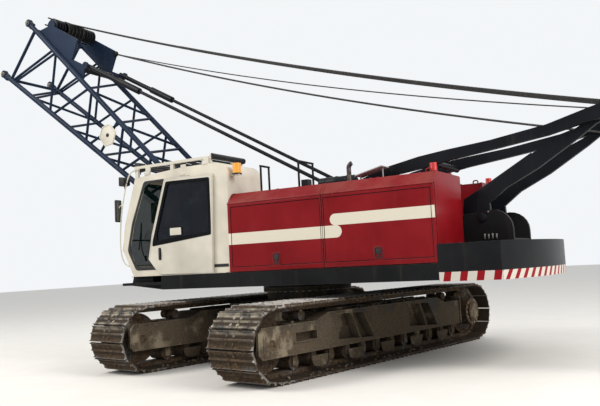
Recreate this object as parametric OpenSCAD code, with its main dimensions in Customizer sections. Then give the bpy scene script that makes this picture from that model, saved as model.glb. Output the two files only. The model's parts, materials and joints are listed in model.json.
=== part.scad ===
// Crawler crane with its base boom section fitted, in millimetres.
// +X runs along the upper towards the boom, +Y to the cab side, +Z up.
// The origin is where the slewing axis meets the ground.
// The upper stands swung across the crawlers, as it is parked.

/* [Crawlers] */
// Angle from the upper's forward direction to the crawlers' forward direction, degrees
swing_at_rest = 79; // [0:1:90]
// Crawler overall length
track_l = 5800; // [5400:50:6400]
// Crawler overall height
track_h = 940; // [920:10:980]
// Distance between crawler centres, drawn in
track_gauge = 2500; // [2450:10:2700]
// Travel of each crawler from drawn in to spread out
track_reach = 500; // [300:10:520]
// Length of each axle beam that stays in its sleeve when spread out
axle_grip = 430; // [350:10:440]
// Shoe width
shoe_w = 760; // [600:10:900]
// Shoe plate thickness
shoe_t = 16; // [12:1:20]
// Height of the three ridges on a shoe
grouser_h = 24; // [15:1:30]
// Width of a ridge at its foot, each side
grouser_w = 20; // [12:1:24]
// Number of shoes on each crawler
shoe_count = 54; // [50:1:60]
// Gap between neighbouring shoes
shoe_gap = 12; // [6:1:20]
// Depth of the link chain behind the shoes
link_t = 75; // [60:1:80]
// Width of the link chain
link_w = 220; // [180:5:260]
// Width of the side frame
side_frame_w = 520; // [480:10:540]
// Height of the side frame's underside above the ground
side_frame_low = 310; // [308:1:330]
// Height of the side frame's top in its middle stretch
side_frame_high = 770; // [740:5:790]
// Height of the side frame's top at its two ends
side_frame_end_high = 680; // [640:5:685]
// Half length of the side frame's high middle stretch
shoulder_half = 1350; // [1250:10:1400]
// Thickness of the cheeks that hold the idler and the final drive
cheek_t = 40; // [30:1:50]
// Bottom roller radius
roller_r = 95; // [80:1:96]
// Bottom roller length
roller_w = 300; // [260:5:360]
// Bottom rollers on each crawler
roller_count = 12; // [8:1:14]
// Carrier roller radius
carrier_r = 65; // [50:1:66]
// Distance between the two carrier rollers
carrier_spread = 3500; // [3400:20:3800]
// Final drive radius
drive_r = 220; // [200:5:240]
// How far the final drive stands out from the crawler's middle
drive_out = 285; // [270:5:300]
// Idler shaft radius
idler_shaft_r = 60; // [45:5:80]

/* [Carbody] */
// Distance between the two axle beams
axle_spread = 1700; // [1600:10:1750]
// Axle beam depth along the crawlers
axle_w = 260; // [220:5:280]
// Axle beam height
axle_h = 220; // [180:5:240]
// Height of the axle beams' centre
axle_z = 540; // [500:10:550]
// Play of an axle beam in its sleeve, each side
axle_play = 6; // [5:1:10]
// Play of an axle beam on its sleeve's floor and roof
axle_lift = 0.5; // [0.3:0.1:1]
// Wall of the axle sleeves
sleeve_wall = 40; // [25:1:50]
// Half width of the carbody's middle box
carbody_half = 700; // [640:10:760]
// Slewing ring outer radius
ring_r = 690; // [640:10:720]
// Slewing ring height, both halves
ring_h = 120; // [100:5:130]
// Face gap between the halves of the slewing ring
ring_play = 0.5; // [0.3:0.1:1]

/* [Deck] */
// Underside of the deck
deck_low = 1126; // [1110:1:1160]
// Top of the deck plate
deck_high = 1330; // [1300:1:1360]
// Half width of the deck and of the houses
side_y = 1595; // [1570:5:1600]
// Front end of the deck's left wing, under the cab
deck_front = 1600; // [1500:10:1700]
// Thickness of the plate under the cab's front end
platform_t = 40; // [30:1:50]
// Girder thickness
girder_t = 60; // [40:5:80]
// Distance from the middle to each girder's middle
girder_y = 450; // [430:5:460]
// Top of the girders at the boom foot
girder_high = 1760; // [1740:10:1800]
// Top of the girders behind the boom foot
girder_rear_high = 1560; // [1540:10:1600]
// Boom foot pin, forward of the slewing axis
foot_x = 1000; // [950:10:1050]
// Boom foot pin height
foot_z = 1600; // [1580:5:1620]
// Pin radius at the boom foot
foot_pin_r = 45; // [35:1:50]

/* [Houses] */
// Front end of the houses
house_front = 332; // [300:1:340]
// Rear end of the houses and of the deck
house_rear = -2734; // [-2760:1:-2700]
// Distance from the middle to the inner side of each house
house_inner = 520; // [515:1:560]
// House roof height
house_high = 2454; // [2420:1:2500]
// Height where the slanted roof edge starts
eave_z = 2309; // [2280:1:2330]
// How far the slanted roof edge leans in
eave_in = 136; // [100:1:160]
// House wall thickness
house_wall = 40; // [30:1:50]
// Radius of the hinge barrel along the top of a house door
barrel_r = 9; // [8:1:12]
// Where the two side doors of a house meet
door_split_x = -1190; // [-1250:5:-1150]
// Gap around a house door
door_gap = 8; // [6:1:12]
// Engine length
engine_l = 1500; // [1300:20:1600]
// Engine width
engine_w = 700; // [600:10:800]
// Engine height
engine_h = 700; // [600:10:850]
// Oil tank length
tank_l = 900; // [700:20:1000]
// Oil tank width
tank_w = 600; // [500:10:700]

/* [Counterweight] */
// Tail radius about the slewing axis
tail_r = 3840; // [3760:10:3900]
// Radius of the upper rear corner of the plates that carry the gantry struts
tail_corner_r = 260; // [220:10:300]
// Underside of the counterweight
weight_low = 1110; // [1100:5:1140]
// Top of the counterweight
weight_high = 1560; // [1500:5:1600]

/* [Cab] */
// Rear face of the cab
cab_rear = 345; // [342:1:360]
// Inner side of the cab
cab_inner_y = 660; // [655:1:700]
// Height of the cab roof
cab_top = 2930; // [2900:5:2960]
// How much lower the roof's front end is
cab_fall = 50; // [40:5:60]
// Where the roof starts to fall
cab_crown_x = 1160; // [1100:10:1200]
// Front end of the cab roof
cab_brow_x = 1900; // [1880:5:1920]
// Upper end of the cab's front pillars
cab_screen_x = 2110; // [2095:5:2130]
// Bend in the cab's front
cab_bend_x = 2345; // [2330:5:2360]
// Height of the bend in the cab's front
cab_bend_z = 2160; // [2130:5:2190]
// Foremost edge of the cab
cab_nose_x = 2410; // [2400:5:2430]
// Height of the cab's foremost edge
cab_nose_z = 1760; // [1740:5:1780]
// Front end of the cab's floor
cab_sill_x = 2190; // [2180:5:2200]
// Width of the cab's front pillars
pillar_w = 160; // [150:5:165]
// Rear end of the opening behind the sliding door
entry_x = 1010; // [1000:5:1030]
// Lower end of the opening behind the sliding door
entry_z = 1440; // [1430:5:1450]
// Lower end of the windscreen
screen_z = 1500; // [1480:5:1520]
// Rear end of the right window
side_pane_x = 700; // [680:5:720]
// Lower end of the right window
side_pane_z = 1800; // [1780:5:1820]
// Rear end of the sliding door
cab_door_x = 590; // [580:5:600]
// Length of the sliding door
cab_door_l = 1250; // [1230:5:1260]
// How far the sliding door's front edge leans back
cab_door_lean = 360; // [340:5:370]
// Width of the sliding door's front frame
cab_door_frame_w = 140; // [130:5:150]
// Height of the sliding door's foremost corner
cab_door_nose_z = 1590; // [1570:5:1610]
// Lower end of the sliding door's pane
door_pane_z = 1820; // [1810:5:1840]
// Radius of the cab's upper rear corner
cab_corner_r = 200; // [150:5:240]
// Cab wall thickness
cab_wall = 45; // [35:1:55]
// Thickness of the sliding door
cab_door_t = 40; // [30:1:45]
// Gap between the sliding door and the cab side
cab_door_gap = 6; // [5:1:10]
// Pane thickness
pane_t = 10; // [6:1:14]
// Rear face of the operator's backrest
seat_back_x = 740; // [720:5:760]
// Seat cushion width
seat_w = 440; // [420:5:450]
// Seat cushion length, with the backrest's thickness
seat_l = 610; // [580:5:630]
// Height of the seat cushion above the cab's floor plate
seat_rise = 550; // [530:5:560]
// Height of the backrest above the seat cushion
backrest_h = 630; // [600:5:650]
// Console length
console_l = 680; // [660:5:700]
// Console height
console_h = 640; // [620:5:660]
// Console width
console_w = 80; // [70:2:85]
// Height of the roof guard above the cab roof
guard_rise = 80; // [60:5:120]

/* [Boom] */
// Boom angle above the horizontal, degrees
boom_angle = 40.6; // [30:0.1:60]
// Length from the foot pin to the connecting lugs
boom_l = 6700; // [6500:20:7000]
// Half distance between the left and right chords
chord_y = 570; // [560:1:585]
// Chord diameter
chord_d = 95; // [80:1:110]
// Lacing tube diameter
lace_d = 48; // [40:1:60]
// Half distance between upper and lower chords at the open end
end_half = 585; // [540:5:620]
// Half distance between upper and lower chords at the foot
foot_half = 115; // [90:5:140]
// Length of the plated foot
foot_plate_l = 1500; // [1300:20:1700]
// Thickness of the foot plates
foot_plate_t = 70; // [60:1:78]
// Lacing pitch for each unit of half depth of the boom
lace_pitch = 1.32; // [1.2:0.01:1.6]
// Connecting lug pin hole radius
lug_hole_r = 32; // [25:1:36]
// Connecting lug thickness
lug_t = 60; // [50:1:70]
// Distance from the open end back to the bracket sheaves
bracket_back = 530; // [500:10:600]
// Height of the bracket sheaves above the upper chords
bracket_rise = 302; // [280:2:330]
// Distance from the open end back to the backstop pins
stop_back = 1832; // [1800:4:1900]
// Height of the backstop pins above the upper chords
stop_rise = 242; // [230:2:260]

/* [Hoisting gear] */
// Gantry head, back from the slewing axis
head_x = -4640; // [-4800:10:-4500]
// Gantry head height
head_z = 3100; // [3080:10:3150]
// Distance from the middle to each gantry mast bar
mast_y = 470; // [468:1:474]
// Thickness of the gantry mast bars
mast_t = 80; // [70:1:82]
// Thickness of the gantry struts
strut_t = 70; // [60:1:74]
// Radius of the sheaves
sheave_r = 130; // [120:5:150]
// Rope diameter
rope_d = 18; // [14:1:22]
// Distance between neighbouring rope parts
rope_pitch = 45; // [40:1:50]
// Length of each half of the boom hoist reeving
rope_half_l = 7300; // [6800:50:7400]
// Backstop pin on the mast foot posts, back from the slewing axis
stop_foot_x = -620; // [-700:10:-550]
// Backstop pin height on the mast foot posts
stop_foot_z = 2600; // [2550:10:2650]
// Distance from the middle to each backstop
stop_y = 440; // [436:1:444]
// Radius of the backstop's trunnion on the boom bracket
trunnion_r = 20; // [16:1:24]
// Length of the backstop's tube, from the boom pin
stop_tube_l = 1440; // [1300:20:1600]
// Winch drum radius
drum_r = 170; // [150:5:180]
// Boom hoist drum radius
hoist_drum_r = 150; // [130:5:170]
// How far a drum's flange stands above the drum
flange_rise = 120; // [100:5:130]
// Length of a winch drum over its flanges
drum_l = 680; // [640:10:690]

/* [Hidden] */

// Clearance of a seat, a shaft in its bore and a piece on its carrier
seat = 0.3;
// How far joined solids reach into each other
weld = 10;
// How much wider than its bar an eye is
eye_rim = 16;

red = [0.62, 0.10, 0.15];
dark = [0.17, 0.17, 0.19];
steel_blue = [0.20, 0.25, 0.29];
cream = [0.85, 0.80, 0.70];
mud = [0.38, 0.32, 0.27];
bare = [0.50, 0.50, 0.50];
pane = [0.45, 0.62, 0.60];

// Tube from one point to another
module strut(p, q, d) {
    v = q - p;
    l = norm(v);
    translate(p)
        rotate([0, acos(v[2] / l), atan2(v[1], v[0])])
            cylinder(h = l, d = d, $fn = 32);
}

// Side view shape, in x and z, made into a plate across y
module slab(y, t) {
    translate([0, y, 0])
        rotate([90, 0, 0])
            linear_extrude(t, center = true) children();
}

module plate(y, t, pts) {
    slab(y, t) polygon(pts);
}

// Round bar along y
module bar_y(x, y, z, r, l) {
    translate([x, y, z])
        rotate([90, 0, 0]) cylinder(h = l, r = r, center = true, $fn = 48);
}

// Block from its corner nearest the origin's lower left, given by its ends along x, y and z
module block(x, y, z) {
    translate([x[0], y[0], z[0]]) cube([x[1] - x[0], y[1] - y[0], z[1] - z[0]]);
}

// Bent bar in side view: rows of x, z and depth, with an eye at each end
module bent_bar(rows) {
    last = len(rows) - 1;
    edge = function (i, share)
        let (p = rows[max(i - 1, 0)], q = rows[min(i + 1, last)],
             step = [q[0] - p[0], q[1] - p[1]] / norm([q[0] - p[0], q[1] - p[1]]))
        [rows[i][0] - step[1] * share * rows[i][2], rows[i][1] + step[0] * share * rows[i][2]];
    polygon(concat(
        [for (i = [0 : last]) edge(i, 0.5)],
        [for (i = [last : -1 : 0]) edge(i, -0.5)]
    ));
    for (row = [rows[0], rows[last]])
        translate([row[0], row[1]]) circle(d = row[2] + eye_rim, $fn = 48);
}

// Crawlers

end_r = track_h / 2;
track_half = track_l / 2 - end_r;
chain_outer_r = end_r - shoe_t - grouser_h;
chain_inner_r = chain_outer_r - link_t;
shoe_pitch = (4 * track_half + 2 * PI * chain_outer_r) / shoe_count;
wheel_r = chain_inner_r - seat;
roller_z = end_r - chain_inner_r + roller_r + seat;
carrier_z = end_r + chain_inner_r - carrier_r - seat;
beam_half = track_half - wheel_r - 15;
roller_span = 2 * beam_half - 240;
frame_inner = track_gauge / 2 - side_frame_w / 2;
axle_reach = track_reach + axle_grip;

// Undercarriage pieces are drawn along x and then turned to where they stand
module turned() {
    rotate([0, 0, swing_at_rest]) children();
}

// Each crawler is drawn with its outer side towards +y
module crawler_place(side) {
    turned()
        mirror([0, side < 0 ? 1 : 0, 0])
            translate([0, track_gauge / 2, 0]) children();
}

module stadium(half, r) {
    square([2 * half, 2 * r], center = true);
    for (end = [-1, 1])
        translate([end * half, 0]) circle(r, $fn = 72);
}

// Pin of the link chain, counted along the chain from the front of the lower run
function chain_pin(i) =
    let (s = (i % shoe_count) * shoe_pitch, straight = 2 * track_half, arc = PI * chain_outer_r)
    s < straight ? [s - track_half, -chain_outer_r]
    : s < straight + arc ?
        let (a = (s - straight) / chain_outer_r * 180 / PI)
        [track_half + chain_outer_r * sin(a), -chain_outer_r * cos(a)]
    : s < 2 * straight + arc ? [track_half - (s - straight - arc), chain_outer_r]
    : let (a = 180 + (s - 2 * straight - arc) / chain_outer_r * 180 / PI)
        [-track_half + chain_outer_r * sin(a), -chain_outer_r * cos(a)];

// Outline of a shoe with its three ridges, sunk a little into the chain
module shoe(l) {
    a = shoe_gap / 2;
    b = l - a;
    tip = -shoe_t - grouser_h;
    polygon([
        [a, 4], [a, tip], [a + grouser_w, -shoe_t],
        [l / 2 - grouser_w, -shoe_t], [l / 2, tip], [l / 2 + grouser_w, -shoe_t],
        [b - grouser_w, -shoe_t], [b, tip], [b, 4]
    ]);
}

module track(side) {
    crawler_place(side)
        translate([0, 0, end_r]) {
            slab(0, shoe_w)
                for (i = [0 : shoe_count - 1]) {
                    from = chain_pin(i);
                    step = chain_pin(i + 1) - from;
                    translate(from) rotate(atan2(step[1], step[0])) shoe(norm(step));
                }
            slab(0, link_w)
                difference() {
                    polygon([for (i = [0 : shoe_count - 1]) chain_pin(i)]);
                    stadium(track_half, chain_inner_r);
                }
        }
}

// Recess in the outer face of the side frame beside an axle beam, with its slanted rib
module pocket(u) {
    difference() {
        plate(side_frame_w / 2, 2 * 150, [
            [u + 340, side_frame_high - 40], [u + 310, side_frame_low + 90],
            [u - 480, side_frame_low + 40], [u - 245, side_frame_high - 60]
        ]);
        plate(side_frame_w / 2 - 75, 150, [
            [u + 50, side_frame_high], [u + 20, side_frame_high],
            [u - 205, side_frame_low], [u - 175, side_frame_low]
        ]);
    }
}

function roller_x(i) = roller_span * (i / (roller_count - 1) - 0.5);

module side_frame(side) {
    cheek_y = (side_frame_w - cheek_t) / 2;
    idler_end = track_half + 220;
    drive_end = track_half + 140;
    bracket_y = (roller_w + 24) / 2 + seat;
    crawler_place(side) {
        difference() {
            plate(0, side_frame_w, [
                [-beam_half, side_frame_low], [beam_half, side_frame_low],
                [beam_half, side_frame_end_high], [shoulder_half + 250, side_frame_end_high],
                [shoulder_half, side_frame_high], [-shoulder_half, side_frame_high],
                [-shoulder_half - 250, side_frame_end_high], [-beam_half, side_frame_end_high]
            ]);
            for (end = [-1, 1]) pocket(end * axle_spread / 2);
            // step slot
            block([1600, 2000], [side_frame_w / 2 - 120, side_frame_w / 2 + 1], [460, 570]);
        }
        // flange before the final drive
        block([-beam_half, -beam_half + 30], [-side_frame_w / 2, side_frame_w / 2 + 20],
            [side_frame_low, side_frame_end_high + 65]);
        // cheeks at the idler
        for (edge = [-1, 1])
            difference() {
                plate(edge * cheek_y, cheek_t, [
                    [beam_half - weld, side_frame_low], [idler_end - 60, side_frame_low],
                    [idler_end, side_frame_low + 60], [idler_end, side_frame_end_high - 60],
                    [idler_end - 60, side_frame_end_high], [beam_half - weld, side_frame_end_high]
                ]);
                bar_y(track_half, edge * cheek_y, end_r, idler_shaft_r + seat, cheek_t + 2);
            }
        // cheek that carries the final drive on the inner side
        difference() {
            plate(-cheek_y, cheek_t, [
                [-beam_half + weld, side_frame_low + 20], [-track_half, side_frame_low - 20],
                [-drive_end, end_r - 100], [-drive_end, end_r + 100],
                [-track_half, side_frame_end_high], [-beam_half + weld, side_frame_end_high - 20]
            ]);
            bar_y(-track_half, -cheek_y, end_r, drive_neck_r + seat, cheek_t + 2);
        }
        for (end = [-1, 1])
            translate([end * axle_spread / 2, -(side_frame_w + axle_reach - 2 * weld) / 2, axle_z])
                cube([axle_w, axle_reach + 2 * weld, axle_h], center = true);
        // stands between the halves of the carrier rollers
        for (end = [-1, 1])
            block([end * carrier_spread / 2 - 45, end * carrier_spread / 2 + 45], [-30, 30],
                [side_frame_end_high - weld, carrier_z]);
        // brackets that hold the bottom rollers
        for (i = [0 : roller_count - 1], edge = [-1, 1])
            block([roller_x(i) - 40, roller_x(i) + 40],
                [edge * bracket_y - 12, edge * bracket_y + 12],
                [roller_z - 40, side_frame_low + weld]);
    }
}

module rollers(side) {
    crawler_place(side) {
        for (i = [0 : roller_count - 1])
            bar_y(roller_x(i), 0, roller_z, roller_r, roller_w);
        for (end = [-1, 1], edge = [-1, 1])
            bar_y(end * carrier_spread / 2, edge * (85 + seat), carrier_z, carrier_r, 110);
    }
}

module idler(side) {
    crawler_place(side) {
        bar_y(track_half, 0, end_r, wheel_r, link_w - 20);
        bar_y(track_half, 0, end_r, idler_shaft_r, side_frame_w + 20);
    }
}

drive_neck_r = 150;

// Sprocket wheel with the final drive that stands out on its outer side
module sprocket(side) {
    inner = -side_frame_w / 2 - 40;
    crawler_place(side) {
        bar_y(-track_half, 0, end_r, wheel_r, link_w - 60);
        bar_y(-track_half, drive_out / 2, end_r, drive_r, drive_out);
        bar_y(-track_half, (inner + drive_out + 25) / 2, end_r, drive_neck_r, drive_out + 25 - inner);
    }
}

// Carbody

ring_low = deck_low - ring_h;
carbody_low = axle_z - axle_h / 2 - axle_lift - sleeve_wall;
carbody_high = ring_low - 150;
sleeve_half = axle_w / 2 + axle_play + sleeve_wall;

module carbody() {
    sleeve_l = 2 * (frame_inner - 20);
    turned() {
        color(mud) difference() {
            union() {
                for (end = [-1, 1])
                    translate([end * axle_spread / 2, 0, axle_z])
                        cube([
                            2 * sleeve_half, sleeve_l, axle_h + 2 * (sleeve_wall + axle_lift)
                        ], center = true);
                block([-axle_spread / 2 - sleeve_half, axle_spread / 2 + sleeve_half],
                    [-carbody_half, carbody_half], [carbody_low, carbody_high]);
                translate([0, 0, axle_z])
                    cylinder(h = ring_low - axle_z + 1, r = ring_r - 60, $fn = 96);
            }
            for (end = [-1, 1])
                translate([end * axle_spread / 2, 0, axle_z])
                    cube([
                        axle_w + 2 * axle_play, sleeve_l + 2, axle_h + 2 * axle_lift
                    ], center = true);
        }
        color(bare) translate([0, 0, ring_low])
            cylinder(h = ring_h / 2, r = ring_r, $fn = 96);
    }
}

// Deck

post_y = 380;
post_t = 50;
mast_pin = [-950, 2400];
strut_pin = [-2990, 1890];
strut_y = mast_y - mast_t / 2 - seat - strut_t / 2;
tail_t = 60;
tail_y = strut_y + strut_t / 2 + seat + tail_t / 2;
pin_r = 40;
cab_front = 2390;
platform_high = deck_high - 90;

module deck() {
    rear = strut_pin[0] - 390;
    color(bare) translate([0, 0, ring_low + ring_h / 2 + ring_play])
        cylinder(h = ring_h / 2 - ring_play + 1, r = ring_r, $fn = 96);
    color(dark) {
        // deck plate, longer in the left wing that the cab stands on
        translate([0, 0, deck_low])
            linear_extrude(deck_high - deck_low)
                polygon([
                    [house_rear, -side_y], [foot_x + 260, -side_y], [foot_x + 260, house_inner],
                    [deck_front, house_inner], [deck_front, side_y], [house_rear, side_y]
                ]);
        // cross plate between the girders under the boom foot
        block([foot_x + 120, foot_x + 160], [-girder_y, girder_y], [deck_high - weld, deck_high + 60]);
        // plate and ribs under the cab's front end
        block([deck_front - weld, cab_front], [cab_inner_y, side_y],
            [platform_high - platform_t, platform_high]);
        for (y = [cab_inner_y + 150, side_y - 150])
            plate(y, 40, [
                [deck_front - weld, deck_low], [deck_front + 120, deck_low],
                [cab_front - 40, platform_high - platform_t], [cab_front - 40, platform_high - 1],
                [deck_front - weld, platform_high - 1]
            ]);
        for (side = [-1, 1]) {
            plate(side * girder_y, girder_t, [
                [house_rear, deck_high - weld], [foot_x + 220, deck_high - weld],
                [foot_x + 130, foot_z + 80], [foot_x + 60, girder_high],
                [foot_x - 120, girder_high], [foot_x - 500, girder_rear_high],
                [house_rear, girder_rear_high]
            ]);
            // boom foot pin
            bar_y(foot_x, side * (girder_y + chord_y + 40) / 2, foot_z,
                foot_pin_r - seat, chord_y + 40 - girder_y);
            // post that carries the gantry mast
            plate(side * post_y, post_t, [
                [mast_pin[0] - 110, deck_high - weld], [stop_foot_x + 320, deck_high - weld],
                [stop_foot_x + 80, stop_foot_z + 60], [stop_foot_x - 80, stop_foot_z + 60],
                [mast_pin[0] - 110, mast_pin[1] + 60]
            ]);
            bar_y(mast_pin[0], side * (post_y + mast_y) / 2, mast_pin[1],
                pin_r, mast_y - post_y + mast_t / 2);
            // bracket that carries the gantry strut
            plate(side * tail_y, tail_t, concat([
                [rear, weight_high + seat], [house_rear, weight_high + seat],
                [house_rear, deck_high - weld], [house_rear + 140, deck_high - weld],
                [house_rear + 140, strut_pin[1] - 190], [strut_pin[0] + 250, strut_pin[1] + 60]
            ], [for (a = [75 : 15 : 180])
                [rear + tail_corner_r * (1 + cos(a)),
                    strut_pin[1] + 95 - tail_corner_r * (1 - sin(a))]
            ]));
            bar_y(strut_pin[0], side * (tail_y + strut_y) / 2, strut_pin[1],
                pin_r, tail_y - strut_y + strut_t / 2);
        }
        block([rear + weld, house_rear + 20], [-tail_y, tail_y],
            [weight_high + seat, weight_high + seat + 40]);
    }
}

// Houses

door_hinge_z = eave_z - barrel_r - seat;

// House walls: roof, ends and inner side, open at the outer side
module house(side) {
    skin_y = side_y - house_wall - door_gap;
    mirror([0, side < 0 ? 1 : 0, 0])
        translate([house_rear, 0, 0]) rotate([90, 0, 90])
            difference() {
                linear_extrude(house_front - house_rear)
                    polygon([
                        [house_inner, deck_high + seat], [skin_y, deck_high + seat],
                        [skin_y, eave_z], [side_y, eave_z],
                        [side_y - eave_in, house_high], [house_inner, house_high]
                    ]);
                translate([0, 0, house_wall])
                    linear_extrude(house_front - house_rear - 2 * house_wall)
                        polygon([
                            [house_inner + house_wall, deck_high - 1], [skin_y + 1, deck_high - 1],
                            [skin_y + 1, eave_z - 1], [skin_y - 10, eave_z - 10],
                            [side_y - eave_in - 20, house_high - house_wall],
                            [house_inner + house_wall, house_high - house_wall]
                        ]);
            }
}

module house_door(side, x0, x1) {
    mirror([0, side < 0 ? 1 : 0, 0]) {
        block([x0 + door_gap / 2, x1 - door_gap / 2], [side_y - house_wall, side_y],
            [deck_high + door_gap, door_hinge_z - barrel_r / 2]);
        translate([x0 + door_gap / 2, side_y, door_hinge_z])
            rotate([0, 90, 0]) cylinder(h = x1 - x0 - door_gap, r = barrel_r, $fn = 32);
    }
}

module engine() {
    color(dark)
        block([house_rear + 330, house_rear + 330 + engine_l],
            [-house_inner - 180 - engine_w, -house_inner - 180],
            [deck_high + seat, deck_high + engine_h]);
}

module oil_tank() {
    color(dark)
        block([house_rear + 230, house_rear + 230 + tank_l],
            [house_inner + 280, house_inner + 280 + tank_w], [deck_high + seat, deck_high + engine_h]);
}

module counterweight() {
    color(dark)
        intersection() {
            translate([0, 0, weight_low])
                cylinder(h = weight_high - weight_low, r = tail_r, $fn = 128);
            block([-tail_r, house_rear - seat], [-side_y, side_y], [weight_low, weight_high]);
        }
}

// Cab

cab_floor = deck_high + seat;
cab_outer_y = side_y - cab_door_t - cab_door_gap;
cab_brow = cab_top - cab_fall;
door_sill = deck_high + 10;

// Cab side view
module cab_side() {
    polygon([
        [cab_rear, cab_floor], [cab_sill_x, cab_floor], [cab_nose_x, cab_nose_z],
        [cab_bend_x, cab_bend_z], [cab_screen_x, cab_brow - 25], [cab_brow_x, cab_brow],
        [cab_crown_x, cab_top], [cab_rear + cab_corner_r, cab_top],
        [cab_rear, cab_top - cab_corner_r]
    ]);
    translate([cab_rear + cab_corner_r, cab_top - cab_corner_r]) circle(cab_corner_r, $fn = 64);
}

module cab_body(inset) {
    slab((cab_inner_y + cab_outer_y) / 2, cab_outer_y - cab_inner_y - 2 * inset)
        offset(delta = -inset) cab_side();
}

// Windscreen, right window and roof window, grown on every side
module cab_holes(grow) {
    block([cab_brow_x + 50 - grow, cab_nose_x + 100],
        [cab_inner_y + 60 - grow, cab_outer_y - 60 + grow], [screen_z - grow, cab_brow - 90 + grow]);
    block([side_pane_x - grow, cab_brow_x + 50 + grow],
        [cab_inner_y - 1, cab_inner_y + cab_wall + 1], [side_pane_z - grow, cab_brow - 130 + grow]);
    block([side_pane_x + 100 - grow, cab_crown_x + 340 + grow],
        [cab_inner_y + 200 - grow, cab_outer_y - 200 + grow],
        [cab_brow - 80, cab_top + 1]);
}

module cab_shell() {
    color(cream) difference() {
        cab_body(0);
        cab_body(cab_wall);
        cab_holes(0);
        plate(cab_outer_y - cab_wall / 2, cab_wall + 2, [
            [entry_x, entry_z], [cab_sill_x - pillar_w + 100, entry_z],
            [cab_nose_x - pillar_w + 40, cab_nose_z - 20], [cab_bend_x - pillar_w, cab_bend_z],
            [cab_screen_x - pillar_w - 30, cab_brow - 100], [entry_x, cab_brow - 100]
        ]);
    }
    color(dark) {
        // mounts on the plate under the cab's front end
        for (y = [cab_inner_y + 120, cab_outer_y - 120])
            translate([cab_sill_x - 100, y, platform_high + seat])
                cylinder(h = cab_floor - platform_high - seat + 1, r = 50, $fn = 32);
        // rail under the sliding door
        block([cab_rear + 40, cab_sill_x + 10], [cab_outer_y - 20, side_y],
            [cab_floor, door_sill - seat]);
    }
}

module cab_glass() {
    inset = (cab_wall - pane_t) / 2;
    color(pane) intersection() {
        difference() {
            cab_body(inset);
            cab_body(inset + pane_t);
        }
        cab_holes(-seat);
    }
}

cab_door_nose = cab_door_x + cab_door_l;

module cab_door_window() {
    polygon([
        [cab_door_x + 50, door_pane_z + 90], [cab_door_nose - cab_door_frame_w - 20, door_pane_z],
        [cab_door_nose - cab_door_frame_w, door_pane_z + 140],
        [cab_door_nose - cab_door_lean - 40, cab_brow - 150], [cab_door_x + 50, cab_brow - 165]
    ]);
}

module cab_door() {
    color(cream) slab(side_y - cab_door_t / 2, cab_door_t)
        difference() {
            polygon([
                [cab_door_x + 40, door_sill], [cab_door_nose - 210, door_sill + 10],
                [cab_door_nose, cab_door_nose_z], [cab_door_nose - 80, cab_bend_z - 200],
                [cab_door_nose - cab_door_lean, cab_brow - 90], [cab_door_x, cab_brow - 105]
            ]);
            cab_door_window();
        }
}

module cab_door_glass() {
    color(pane) slab(side_y - cab_door_t / 2, pane_t) offset(delta = -seat) cab_door_window();
}

// Seat between its two consoles
module cab_seat() {
    low = cab_floor + cab_wall + seat;
    cushion_z = low + seat_rise;
    mid_y = (cab_inner_y + cab_outer_y) / 2;
    color(dark) {
        block([seat_back_x + 120, seat_back_x + seat_l - 70],
            [mid_y - seat_w / 2 + 60, mid_y + seat_w / 2 - 60], [low, cushion_z - 120]);
        block([seat_back_x + 80, seat_back_x + seat_l], [mid_y - seat_w / 2, mid_y + seat_w / 2],
            [cushion_z - 130, cushion_z]);
        block([seat_back_x, seat_back_x + 130], [mid_y - seat_w / 2, mid_y + seat_w / 2],
            [cushion_z - 50, cushion_z + backrest_h]);
        for (side = [-1, 1])
            translate([seat_back_x + 80, mid_y + side * (seat_w + console_w + 20) / 2, low])
                translate([0, -console_w / 2, 0]) cube([console_l, console_w, console_h]);
    }
}

// Frame of bars over the cab roof, with a rolled screen along its rear end
module roof_guard() {
    low = cab_top + guard_rise;
    sides = [cab_inner_y + 60, cab_outer_y - 60];
    places = [cab_rear + 340, (cab_rear + 340 + cab_screen_x) / 2, cab_screen_x];
    color(dark) {
        for (y = sides)
            block([places[0] - 40, places[2] + 40], [y - 25, y + 25], [low, low + 40]);
        for (i = [0 : 8])
            let (x = places[0] + i * (places[2] - places[0]) / 8)
                block([x - 15, x + 15], sides, [low + 5, low + 35]);
        bar_y(places[0] - 50, (sides[0] + sides[1]) / 2, low + 30, 45, sides[1] - sides[0] + 40);
    }
    color(cream)
        difference() {
            for (x = places, y = sides)
                translate([x - 30, y - 20, cab_brow - 80]) cube([60, 40, low - cab_brow + 85]);
            slab((cab_inner_y + cab_outer_y) / 2, cab_outer_y - cab_inner_y)
                translate([0, seat]) cab_side();
        }
}

// Gantry and reeving

head_axle_r = 45;

// Point on the way from one pin to another, with a height above the straight line
function on_way(p, q, share, rise) = p + share * (q - p) + [0, rise];

function way_row(p, q, row) = let (at = on_way(p, q, row[0], row[1])) [at[0], at[1], row[2]];

// Rows: share of the way from the pin to the head, height above the straight line, depth
mast_rows = [
    [0, 0, 130], [0.203, 98, 140], [0.333, 82, 170], [0.44, 63, 150],
    [0.604, 12, 130], [0.8, -25, 140], [0.92, 0, 160], [1, 0, 200]
];
// Rows: share of the way from the pin to the strut's upper end, height above it, depth
strut_rows = [
    [0, 0, 200], [0.01, 225, 180], [0.19, 218, 150], [0.468, 148, 210],
    [0.834, 25, 120], [1, 0, 100]
];

module gantry_mast() {
    head = [head_x, head_z];
    color(dark) {
        for (side = [-1, 1])
            difference() {
                slab(side * mast_y, mast_t)
                    bent_bar([for (row = mast_rows) way_row(mast_pin, head, row)]);
                bar_y(mast_pin[0], side * mast_y, mast_pin[1], pin_r + seat, mast_t + 2);
            }
        bar_y(head_x, 0, head_z, head_axle_r, 2 * mast_y + mast_t);
        tie = on_way(mast_pin, head, 0.39, 5);
        bar_y(tie[0], 0, tie[1], 45, 2 * mast_y);
    }
}

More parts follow.
